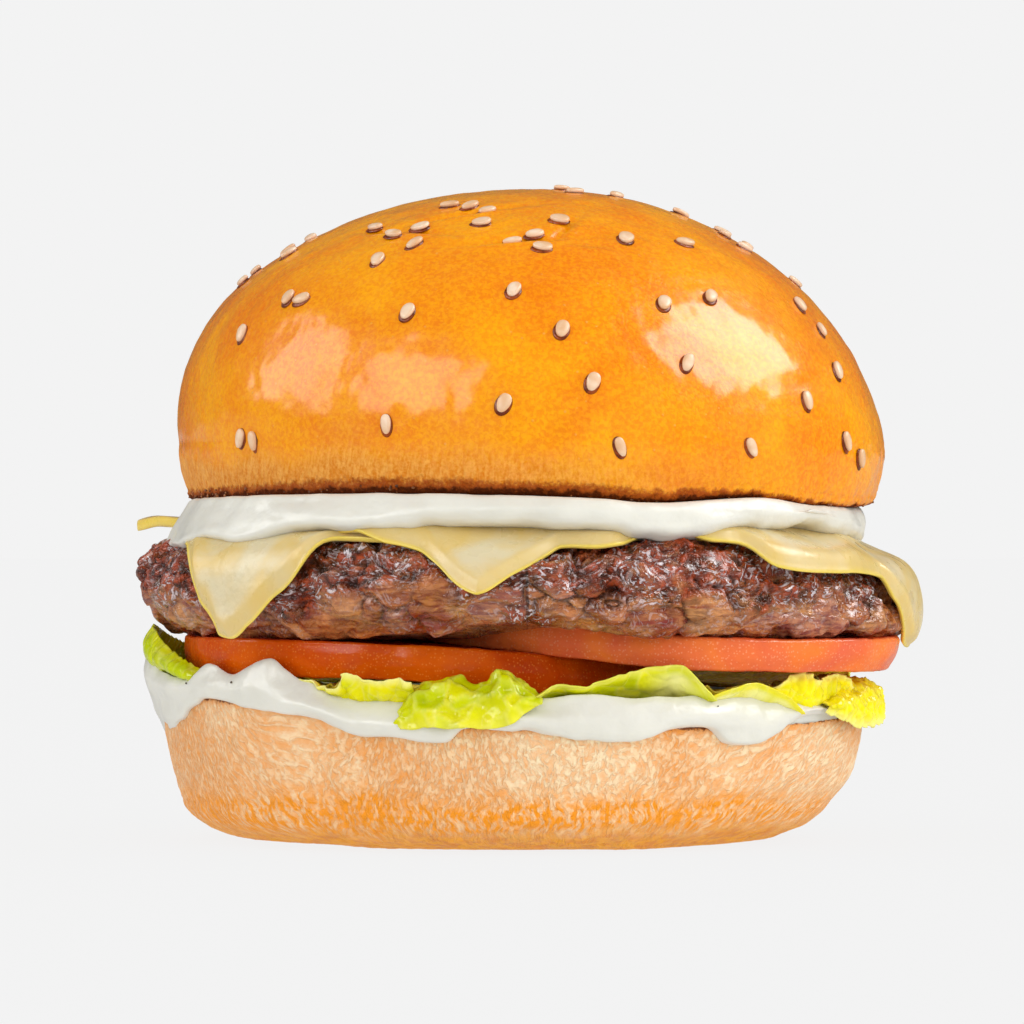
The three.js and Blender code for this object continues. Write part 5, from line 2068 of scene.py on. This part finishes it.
@dataclass
class Leaf(Layer):
    """A lettuce leaf: a thin sheet from its root under the tomato over a crest to its free edge.

    Each station round the leaf is (azimuth, crest radius, crest height, edge radius, edge height).
    """

    slot: Slot | None = Slot.LETTUCE
    sauce: LowerSauce = field(default_factory=LowerSauce)
    stations: tuple[tuple[float, ...], ...] = ()
    root: float = 39.0  # radius at which it starts
    bed: float = 47.0  # radius up to which it lies on the sauce
    lift: float = 0.3  # how far above the sauce
    belly: float = 0.0  # how far it bulges out between crest and edge
    frill: float = 0.35  # waves along the free edge
    pitch: float = 2.4  # and their length
    pucker: float = 0.3  # blisters of the blade
    blister: float = 4.0  # and their size
    yellow: float = 0.5  # share of yellow in the blade
    pale_edge: float = 0.3  # how pale its free edge is
    pale_at: tuple[float, ...] = ()  # azimuths of pale folded parts
    pale_width: float = 3.0  # and how many degrees they reach to each side
    # Partly pale veins, partly painted light that lifts the shade in the creases between blisters.
    vein_and_painted_light: float = 0.18  # how pale the borders of the blisters are
    thickness: float = 0.6
    seed: int = 90
    girth: float = 55.0  # radius at which degrees are turned into the edge's length
    across: int = 220
    along: int = 70

    def middle_surface(self, u: Array, v: Array) -> Array:
        """The sheet's middle.

        Args:
            u: Share of the way round the leaf.
            v: Share of the way from root to free edge.

        Returns:
            Smooth curves through the stations, and across them from root and bed to crest and edge.
        """
        at, crest_r, crest_z, edge_r, edge_z = (list(column) for column in zip(*self.stations))
        degrees = mix(at[0], at[-1], u)
        azimuth = np.radians(degrees)
        crest = through(at, crest_r, degrees), through(at, crest_z, degrees)
        edge = through(at, edge_r, degrees), through(at, edge_z, degrees)

        def lie(radius: float) -> Array:
            """On the sauce."""
            return self.sauce.over(np.array(radius), azimuth) + GAP + 0.5 * self.thickness + self.lift

        rows = (0.0, 0.35, 0.65, 1.0)
        radius = through(rows, [self.root + 0 * u, self.bed + 0 * u, crest[0], edge[0]], v)
        height = through(rows, [lie(self.root), lie(self.bed), crest[1], edge[1]], v)
        radius = radius + self.belly * np.sin(np.pi * np.clip((v - 0.6) / 0.4, 0.0, 1.0))
        return around(radius, azimuth, height)

    def surface(self) -> Surface:
        """The sheet puckered into blisters, frilled along its free edge, and given a thickness.

        Returns:
            The sheet: domes 0.9 - 1.6 d^2 round the points of a cell noise, and a sine along the edge.
        """
        u, v = np.meshgrid(np.linspace(0, 1, self.across), np.linspace(0, 1, self.along), indexing="ij")
        middle = self.middle_surface(u, v)
        out = looks(middle.transpose(1, 0, 2), False).transpose(1, 0, 2)
        sway = [noise(middle / self.blister, self.seed + 7 + k) for k in range(3)]
        warped = middle + 0.35 * self.blister * np.stack(sway, axis=-1)
        near, next_near, label = cells(warped / self.blister, self.seed)
        dome = 0.9 - 1.6 * near**2
        fine = noise(middle / (0.35 * self.blister), self.seed + 5)
        free = smooth(0.3, 0.6, v)
        length = np.radians(self.stations[-1][0] - self.stations[0][0]) * self.girth
        uneven = noise(np.stack([u * length / 5, 0 * u, 0 * u], -1), self.seed)
        phase = 2.0 * np.pi * (u * length / self.pitch + 0.9 * uneven)
        wave = self.frill * np.sin(phase) * smooth(0.72, 1.0, v)
        amount = free * (self.pucker * (dome + 0.35 * fine)) + wave
        middle = middle + out * amount[..., None]
        middle[..., 2] += 0.5 * wave
        out = looks(middle.transpose(1, 0, 2), False).transpose(1, 0, 2)
        ends = smooth(0.0, 0.02, u) * smooth(1.0, 0.98, u)
        thin = 0.5 * self.thickness * mix(0.35, 1.0, smooth(1.0, 0.9, v)) * mix(0.3, 1.0, ends)
        upper, lower = middle + out * thin[..., None], middle - out * thin[..., None]
        return sheet_surface(upper, lower, **self.tones(u, v, label, next_near - near))

    def tones(self, u: Array, v: Array, label: Array, gap: Array) -> dict[str, Array]:
        """How yellow and how pale the leaf is at each point.

        Args:
            u: Share of the way round the leaf.
            v: Share of the way from root to free edge.
            label: Random number of each blister.
            gap: Distance to the blister's border.

        Returns:
            Yellow, more in some blisters and at the edge; pale, along veins, edge and folded parts, the
            veins in the creases between blisters partly painted light.
        """
        degrees = mix(self.stations[0][0], self.stations[-1][0], u)
        # The pale creases between blisters are partly veins, partly painted light.
        pale = self.pale_edge * smooth(0.9, 1.0, v) + self.vein_and_painted_light * smooth(0.14, 0.0, gap)
        for middle in self.pale_at:
            fold = 0.9 * bell(degrees, middle, self.pale_width)
            pale = np.maximum(pale, fold * smooth(0.97, 0.85, v))
        yellow = np.clip(self.yellow + 0.35 * (label - 0.5) + 0.2 * smooth(0.85, 1.0, v), 0.0, 1.0)
        return {"yellow": yellow, "pale": np.clip(pale, 0.0, 1.0)}


@dataclass
class Granules(Layer):
    """Small irregular grains stuck to a surface."""

    places: Array = field(default_factory=lambda: np.zeros((0, 3)))
    size: tuple[float, float] = (0.25, 0.5)
    seed: int = 120

    def surface(self) -> Surface:
        """Each grain a lumpy ball of eight points in each row.

        Returns:
            The grains joined.
        """
        random = np.random.default_rng(self.seed)
        parts = []
        turn = azimuths(8)
        angle = np.linspace(0.0, np.pi, 6)[:, None]
        ball = around(np.sin(angle), turn, -np.cos(angle))
        for place in self.places:
            lumps = 1.0 + 0.4 * noise(ball * 1.3 + random.uniform(0, 50, 3), self.seed)
            scale = random.uniform(*self.size) * random.uniform(0.6, 1.0, 3)
            parts.append(round_surface(ball * lumps[..., None] * scale + place))
        return joined(parts)


# ------------------------------------------------------------------ the burger
class Burger:
    """All layers of the burger, in the order they are stacked."""

    def __init__(self) -> None:
        """Makes the layers that others are fitted to."""
        self.heel = Heel()
        self.lower_sauce = LowerSauce(heel=self.heel)
        self.crown = Crown()
        self.seeds = SesameSeeds(crown=self.crown)

    def leaves(self) -> list[Leaf]:
        """The leaves, front ones first and the one inside last.

        Returns:
            The leaves from the left round to the right, those at the back, and the one inside.
        """
        sauce = self.lower_sauce
        return [
            Leaf(
                "leaf_left_cup", ("lettuce_left_cup",), sauce=sauce, root=40, bed=51, yellow=0.12,
                pale_edge=0.0, belly=1.6, frill=0.12, pucker=0.35, blister=3.2, seed=90,
                stations=(
                    (-116, 56.6, 26.4, 57.4, 28.2), (-104, 57.1, 26.9, 58.0, 31.0),
                    (-92, 57.2, 26.9, 58.2, 33.0), (-82, 57.1, 26.9, 58.2, 32.4),
                    (-73, 57.0, 26.6, 57.8, 30.0), (-66, 56.6, 25.8, 57.2, 27.9),
                    (-61, 56.2, 25.2, 56.6, 26.6),
                ),
            ),
            Leaf(
                "leaf_pale_frill", ("lettuce_pale_frill",), sauce=sauce, root=38, bed=47, yellow=0.6,
                pale_edge=0.75, frill=0.3, pitch=3.0, pucker=0.6, blister=2.6, seed=91,
                stations=(
                    (-46.5, 54.4, 25.6, 56.0, 28.3), (-42, 53.6, 25.2, 55.8, 27.2),
                    (-38, 52.8, 24.6, 55.6, 26.1), (-34, 52.8, 23.6, 55.8, 25.4),
                    (-30.6, 53.4, 22.8, 56.4, 25.0), (-29.2, 53.6, 22.6, 57.0, 27.0),
                    (-27, 53.6, 22.6, 57.4, 26.8), (-23.6, 53.6, 22.6, 57.4, 26.0),
                    (-21, 53.6, 22.6, 57.4, 26.4), (-18, 53.6, 22.6, 57.0, 25.8),
                ),
            ),
            Leaf(
                "leaf_front", ("lettuce_front_leaf",), sauce=sauce, root=39, bed=48, lift=1.0, belly=1.0,
                yellow=0.3, pale_edge=0.15, frill=0.15, pitch=3.2, pucker=1.15, blister=3.6, seed=92,
                stations=(
                    (-20.8, 55.6, 21.0, 57.4, 18.5), (-17.6, 54.4, 25.0, 58.4, 18.9),
                    (-15.6, 53.8, 26.0, 58.6, 19.2), (-12.6, 53.6, 26.6, 58.8, 18.9),
                    (-9.0, 53.6, 25.6, 58.8, 19.2), (-5.7, 53.4, 27.2, 58.8, 19.2),
                    (-2.6, 53.6, 26.6, 58.4, 19.9), (-0.7, 53.8, 25.4, 57.8, 21.4),
                    (1.6, 54.4, 23.2, 56.8, 22.6),
                ),
            ),
            Leaf(
                "leaf_folded", ("lettuce_folded_leaf",), sauce=sauce, root=40, bed=46, yellow=0.35,
                pale_edge=0.25, frill=0.15, pitch=4.0, pucker=0.3, blister=4.0, pale_at=(23.5,), seed=93,
                stations=(
                    (-3.5, 52.6, 21.6, 56.6, 21.4), (0.5, 52.0, 22.4, 56.2, 23.3),
                    (3.4, 51.6, 23.6, 55.4, 25.2), (9.0, 51.4, 23.6, 55.0, 25.2),
                    (12.5, 51.4, 24.2, 55.0, 26.6), (16.5, 51.4, 24.6, 55.0, 27.3),
                    (20.6, 51.6, 24.6, 55.6, 28.1), (23.8, 51.8, 24.4, 56.2, 28.0),
                    (26.0, 52.2, 23.6, 56.4, 25.9), (29.2, 52.6, 22.4, 56.6, 22.8),
                ),
            ),
            Leaf(
                "leaf_wavy", ("lettuce_wavy_leaf",), sauce=sauce, root=38, bed=46, yellow=0.55,
                pale_edge=0.1, frill=0.1, pitch=5.0, pucker=0.2, blister=4.0, pale_at=(31.0, 38.0, 44.0),
                seed=94,
                stations=(
                    (28.2, 52.6, 22.2, 55.4, 23.0), (30.4, 52.6, 22.6, 56.2, 24.2),
                    (36.4, 52.4, 23.0, 56.2, 25.3), (39.4, 52.4, 22.6, 56.2, 24.7),
                    (43.9, 52.4, 21.8, 56.0, 23.0), (48.0, 52.8, 20.6, 55.4, 20.5),
                ),
            ),
            Leaf(
                "leaf_right_frill", ("lettuce_right_frill",), sauce=sauce, root=37, bed=43, lift=0.8,
                yellow=0.8, pale_edge=0.6, frill=0.35, pitch=3.0, pucker=0.6, blister=2.4, seed=95,
                stations=(
                    (42.4, 51.6, 22.8, 53.6, 24.6), (45.2, 52.2, 22.2, 54.0, 26.0),
                    (48.0, 52.4, 21.5, 54.3, 26.6), (50.6, 52.6, 21.1, 54.5, 26.4),
                    (52.6, 52.6, 21.3, 54.3, 25.4), (54.6, 52.4, 21.7, 54.3, 26.0),
                    (57.4, 52.0, 22.0, 54.3, 26.4), (60.4, 51.6, 22.4, 54.2, 26.2),
                    (63.0, 51.4, 22.8, 54.2, 25.6), (65.6, 51.0, 23.0, 54.0, 24.2),
                ),
            ),
            Leaf(
                "leaf_right_bunch", ("lettuce_right_bunch",), sauce=sauce, root=36, bed=44, yellow=0.95,
                belly=1.9, pale_edge=0.7, frill=0.25, pitch=3.2, pucker=0.8, blister=2.2, seed=96,
                stations=(
                    (54.5, 52.8, 22.0, 54.4, 20.6), (58.0, 52.4, 23.2, 54.8, 19.6),
                    (61.5, 51.6, 24.2, 54.8, 18.9), (65.0, 51.0, 24.8, 54.8, 18.0),
                    (71.0, 50.6, 25.2, 54.6, 17.8), (78.0, 50.8, 25.0, 54.6, 18.0),
                    (86.0, 50.8, 24.6, 54.4, 18.9), (94.0, 50.8, 24.0, 53.6, 20.4),
                    (100.0, 51.0, 23.2, 52.8, 21.4),
                ),
            ),
            Leaf(
                "leaf_back_right", ("lettuce_back_right",), sauce=sauce, root=34, bed=44, yellow=0.5,
                frill=0.7, pitch=7.5, pucker=0.5, blister=4.0, seed=97,
                stations=(
                    (106, 51.4, 24.6, 52.6, 25.4), (118, 51.4, 26.4, 54.6, 28.6),
                    (132, 51.4, 26.6, 55.8, 30.2), (144, 51.4, 26.4, 55.4, 29.4),
                    (156, 51.4, 26.2, 54.6, 27.8), (166, 51.4, 24.8, 52.6, 25.4),
                ),
            ),
            Leaf(
                "leaf_back_left", ("lettuce_back_left",), sauce=sauce, root=34, bed=44, yellow=0.35,
                frill=0.7, pitch=7.0, pucker=0.5, blister=4.4, seed=98,
                stations=(
                    (172, 51.8, 24.8, 53.0, 25.8), (184, 51.8, 26.8, 55.0, 28.6),
                    (198, 51.8, 27.2, 56.2, 30.0), (212, 51.8, 27.2, 56.4, 30.4),
                    (224, 51.8, 26.4, 55.0, 28.4), (233, 51.8, 25.2, 53.6, 26.4),
                ),
            ),
            Leaf(
                "leaf_inner_bed", (), sauce=sauce, root=24, bed=36, yellow=0.9, pale_edge=0.3, frill=0.9,
                pitch=8.0, pucker=0.8, blister=5.0, seed=99,
                stations=(
                    (-48, 43.0, 24.2, 50.5, 25.2), (-20, 43.0, 23.6, 50.5, 24.8),
                    (0, 43.0, 23.0, 50.0, 23.8), (25, 43.0, 23.2, 48.4, 24.4), (50, 43.0, 23.6, 48.4, 25.0),
                    (80, 43.0, 24.2, 49.0, 25.4),
                ),
            ),
        ]

    def cheese(self) -> list[CheeseSlice]:
        """The lower slice and the upper one that lies on it.

        Returns:
            The lower slice, then the upper one.
        """
        steep = Fold()
        sloping = Fold(((0.0, 0.0), (4.4, 25.0), (10.4, 45.0), (16.0, 55.0)))
        level = Fold(((0.0, -6.0), (5.0, -3.0), (9.0, 2.0)))
        right = Fold(((0, 0), (3, 18), (13, 22), (17, 75), (22, 95), (26, 110)))
        on_right = Brim(right, 43.8, Loop((
            (-150, 0), (0, 0), (30, 0), (52, 1), (90, 1), (112, 1), (130, 0),
        )))
        lower = CheeseSlice(
            "cheese_slice_lower", ("cheese_lower",), x=-7.0, y=1.0, turn=4.5, half=(49.5, 48), seed=50,
            corners=(
                Corner(-46, 54.6, pull=1.06, narrow=(20.0, 27.0)), Corner(143, 53.8), Corner(-128, 54.2),
            ),
            brims=(Brim(share=Loop((
                (-150, 1), (0, 1), (30, 1), (52, 0), (90, 0), (112, 0), (130, 1),
            ))), on_right),
            outline=Loop((
                (-125, 54), (-94, 54.6), (-76, 55.6), (-66, 57.8), (-60.5, 59.4), (-58.2, 60.6),
                (-56.2, 62.1), (-54.9, 63.7), (-53.5, 65.4), (-52.4, 66.7), (-50.6, 67.9), (-49.4, 68.9),
                (-48.6, 69.8), (-47.9, 70.8), (-46.8, 71.2), (-45.4, 71.3), (-44.4, 70.9), (-43.2, 69.8),
                (-41.9, 68.9), (-38.9, 66.2), (-36.2, 64.8), (-34.1, 63.0), (-32.8, 61.2), (-32.0, 59.8),
                (-30.4, 57.4), (-27.8, 56.4), (-20.8, 56.1), (-14, 53), (-8, 50.5), (0, 49), (20, 50),
                (30, 52), (38, 54), (72, 54.5), (120, 56),
            )),
            melted=Loop(((-140, 0), (-124, 0), (-110, 1), (0, 1), (74, 1), (90, 0), (120, 0))),
        )
        upper = CheeseSlice(
            "cheese_slice_upper", ("cheese_upper",), x=3.6, y=0.7, turn=35, half=(48.8, 48.3), seed=54,
            lies_on=lower,
            corners=(Corner(-7.3, 50.0, sloping), Corner(167, 54.0), Corner(-101, 54.0, level, 0.93)),
            brims=(
                Brim(steep, share=Loop((
                    (-150, 1), (-60, 1), (-30, 0), (0, 0), (90, 0), (112, 0), (130, 1),
                ))),
                Brim(sloping, 50.0, Loop((
                    (-150, 0), (-60, 0), (-30, 1), (0, 1), (30, 1), (52, 0), (90, 0), (150, 0),
                ))),
                on_right,
            ),
            outline=Loop((
                (-60, 50), (-30, 55.5), (-22.8, 57.1), (-19.6, 57.0), (-16.4, 57.5), (-14.5, 58.9),
                (-12.6, 60.7), (-11.0, 62.5), (-9.5, 63.9), (-8.1, 64.8), (-7.3, 65.0), (-5.9, 64.5),
                (-4.2, 63.0), (-2.9, 61.8), (-0.1, 59.8), (2.9, 57.3), (4.2, 56.2), (6.0, 56.4),
                (10.2, 57.5), (13.4, 57.0), (15.8, 54.3), (18.9, 52.2), (24, 52.8), (28.6, 55.1),
                (33.0, 56.1), (34.5, 57.1), (35.5, 58.5), (36.6, 59.7), (38.1, 60.2), (41.5, 60.4),
                (48, 59.9), (57, 59.5), (61.6, 59.4), (65.2, 59.8), (66.2, 60.9), (67.6, 62.5),
                (69.6, 63.7), (71.1, 64.9), (72.8, 66.5), (74.5, 67.9), (76.5, 69.6), (81, 70.2),
                (87, 68.5), (93, 65), (102, 60), (112, 57), (140, 56),
            )),
            melted=Loop(((-120, 0), (-42, 0), (-30, 1), (0, 1), (104, 1), (122, 0), (150, 0))),
        )
        return [lower, upper]

    def tomatoes(self) -> list[TomatoSlice]:
        """The two tomato slices.

        Returns:
            The lower one, shifted to the left, and the upper one, shifted to the right.
        """
        return [
            TomatoSlice(
                "tomato_slice_left", ("tomato_left",), x=-16.2, y=-8.6, radius=38, side=-1.0, seed=60,
                thickness=5.6, taper=-1.0,
            ),
            TomatoSlice(
                "tomato_slice_right", ("tomato_right",), x=19.1, y=-10.6, radius=37.4, side=1.0,
                seed=64, thickness=RIGHT_SLICE_THICKNESS, taper=2.0, shoulder=1.1,
                lobes=Ripple(((2, 0.4, 120), (5, 0.4, 10))),
            ),
        ]

    def crumbs(self) -> Granules:
        """Crumbs along the crown's cut rim.

        Returns:
            Grains scattered evenly round the rim and over its height.
        """
        random = np.random.default_rng(121)
        azimuth = random.uniform(0.0, 2.0 * np.pi, CRUMBS)
        radius = self.crown.neck - 0.9 + self.crown.wobble(azimuth) + random.normal(0.0, 0.2, CRUMBS)
        height = self.crown.rim(azimuth) + random.uniform(0.1, 1.3, CRUMBS)
        places = around(radius, azimuth, height)
        return Granules("crumbs", slot=Slot.CROWN, places=places, size=(0.14, 0.3), seed=121)

    def pepper(self) -> Granules:
        """A few flecks of pepper in the lower sauce.

        Returns:
            Four grains at the front and eight round the back, on the belly of the sauce.
        """
        random = np.random.default_rng(122)
        azimuth = np.radians(np.concatenate([[-60.0, 32.5, 8.0, -48.0], random.uniform(95.0, 265.0, 8)]))
        foot, brow = self.lower_sauce.foot(azimuth), self.lower_sauce.brow(azimuth)
        brink = self.lower_sauce.brink(azimuth) - self.heel.x * np.sin(azimuth)
        height = mix(foot, brow, random.uniform(0.55, 0.75, len(azimuth)))
        places = around(brink + 0.32 * self.lower_sauce.drip(azimuth) + 0.35, azimuth, height)
        places = places + np.array([self.heel.x, 0, 0])
        return Granules("pepper", slot=Slot.SAUCE, places=places, size=(0.16, 0.26), seed=122)

    def make(self) -> None:
        """Makes every piece with its finish."""
        effects = Effects()
        kinds = CrownCrust, HeelCrust, Sauce, Cheese, Beef, Tomato, Lettuce, Seed, Granule
        finish = {kind: kind().material(effects) for kind in kinds}
        caramel = Granule(
            name="seed_glaze", film=(1.0, 0.2, 0.35), dark=srgb(104, 36, 4), light=srgb(160, 70, 8)
        )
        peppercorn = Granule(name="pepper", dark=srgb(40, 32, 28), light=srgb(90, 76, 60))
        self.heel.make(finish[HeelCrust])
        self.lower_sauce.make(finish[Sauce])
        for leaf in self.leaves():
            leaf.make(finish[Lettuce])
        # Painted reflection: a pinker copy of the tomato finish for the right slice, whose colours paint the
        # sheen of the white room on its skin.
        sheen_tomato = Tomato(
            name="tomato_painted_sheen", skin=srgb(246, 128, 52), blush=srgb(230, 104, 68), fleck=srgb(255, 196, 150)
        )
        for tomato, look in zip(self.tomatoes(), (finish[Tomato], sheen_tomato.material(effects))):
            tomato.make(look)
        Patty().make(finish[Beef])
        for cheese in self.cheese():
            cheese.make(finish[Cheese])
        UpperSauce(crown=self.crown).make(finish[Sauce])
        self.crown.make(finish[CrownCrust])
        self.seeds.make(finish[Seed])
        SeedGlaze(seeds=self.seeds).make(caramel.material(effects))
        self.crumbs().make(finish[Granule])
        self.pepper().make(peppercorn.material(effects))


# ------------------------------------------------------------------ studio
@dataclass
class Studio:
    """A pale floor, soft light from both sides in a white room, and a level camera in front."""

    floor_half: float = 6.0
    backdrop: Colour = srgb(243, 243, 243)
    matt: float = 1.0  # the room's light on matt surfaces
    gloss: float = 0.1  # and in reflections
    floor_light: float = 0.95  # what the floor throws back
    floor_shine: float = 0.45  # and its share of that in reflections
    camera_place: Triple = (-0.0028, -1.0, 0.0507)
    lens: float = 226.1
    middle: float = 0.055  # height that the lamps look at
    floor_shadow: float = 0.05  # how much the floor takes the burger's shadow
    # Soft boxes: name, place, size, and watts for reflections and for matt surfaces.
    boxes: tuple[tuple[str, Triple, tuple[float, float], float, float], ...] = (
        ("left_pane", (-1.06, -0.04, 0.6), (0.6, 0.66), 6.4, 1.4),
        ("middle_pane", (-0.68, -0.79, 0.6), (0.75, 0.66), 8.0, 0.9),
        ("right_box", (0.85, 0.02, 0.85), (0.8, 0.6), 16.0, 2.3),
        ("front_box", (0.7, -1.1, 0.35), (1.0, 1.0), 0.0, 3.0),
        ("right_fill", (1.2, -0.2, 0.12), (0.6, 0.6), 0.0, 2.8),
    )

    def floor(self) -> bpy.types.Object:
        """A plane that looks like the backdrop, with a faint contact shadow.

        Returns:
            The plane.
        """
        h = self.floor_half
        mesh = bpy.data.meshes.new("floor")
        mesh.from_pydata([(-h, -h, 0), (h, -h, 0), (h, h, 0), (-h, h, 0)], [], [(0, 1, 2, 3)])
        made = bpy.data.objects.new("floor", mesh)
        bpy.context.scene.collection.objects.link(made)
        material = bpy.data.materials.new("floor")
        material.use_nodes = True
        graph = Graph(material.node_tree)
        material.node_tree.nodes.remove(material.node_tree.nodes["Principled BSDF"])
        rays = graph.node("LightPath").outputs
        glossy = graph.times(rays["Is Glossy Ray"], self.floor_light * (1.0 - self.floor_shine))
        light = graph.minus(self.floor_light, glossy)
        glow = graph.blend(rays["Is Camera Ray"], light, self.backdrop)
        even = graph.node("Emission", {"Color": glow})
        matt = graph.node("BsdfDiffuse", {"Color": srgb(225, 225, 225)})
        mixed = graph.node("MixShader", {0: self.floor_shadow, 1: even.outputs[0], 2: matt.outputs[0]})
        graph.tree.links.new(mixed.outputs[0], material.node_tree.nodes["Material Output"].inputs[0])
        mesh.materials.append(material)
        return made

    def world(self) -> None:
        """A white room: the backdrop to the camera, bright on matt surfaces and dim in reflections."""
        world = bpy.data.worlds.new("studio")
        bpy.context.scene.world = world
        world.use_nodes = True
        graph = Graph(world.node_tree)
        rays = graph.node("LightPath").outputs
        glossy = graph.times(rays["Is Glossy Ray"], self.matt - self.gloss)
        light = graph.minus(self.matt, glossy)
        colour = graph.blend(rays["Is Camera Ray"], light, self.backdrop)
        graph.tree.links.new(colour, world.node_tree.nodes["Background"].inputs["Color"])

    def light(self) -> None:
        """The soft boxes, turned towards the burger."""
        for name, place, size, gloss, matt in self.boxes:
            for suffix, power in (("gloss", gloss), ("matt", matt)):
                if not power:
                    continue
                lamp = bpy.data.lights.new(f"{name}_{suffix}", "AREA")
                lamp.shape, lamp.size, lamp.size_y, lamp.energy = "RECTANGLE", *size, power
                made = bpy.data.objects.new(lamp.name, lamp)
                made.location = place
                towards = Vector((0, 0, self.middle)) - Vector(place)
                made.rotation_euler = towards.to_track_quat("-Z", "Y").to_euler()
                made.visible_glossy, made.visible_diffuse = suffix == "gloss", suffix == "matt"
                bpy.context.scene.collection.objects.link(made)

    def camera(self) -> None:
        """A long lens, level, at the height of the upper sauce."""
        data = bpy.data.cameras.new("camera")
        data.lens, data.sensor_width = self.lens, 36.0
        data.clip_start, data.clip_end = 0.05, 30.0
        made = bpy.data.objects.new("camera", data)
        made.location = self.camera_place
        made.rotation_euler = (math.pi / 2, 0.0, 0.0)
        bpy.context.scene.collection.objects.link(made)
        bpy.context.scene.camera = made

    def build(self) -> None:
        """Sets up everything round the burger."""
        self.floor()
        self.world()
        self.light()
        self.camera()
        view = bpy.context.scene.view_settings
        view.view_transform, view.look = "Standard", "None"


def main() -> None:
    logging.basicConfig(level=logging.INFO, format="%(name)s %(message)s")
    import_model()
    Burger().make()
    Studio().build()


if __name__ == "__main__":
    main()
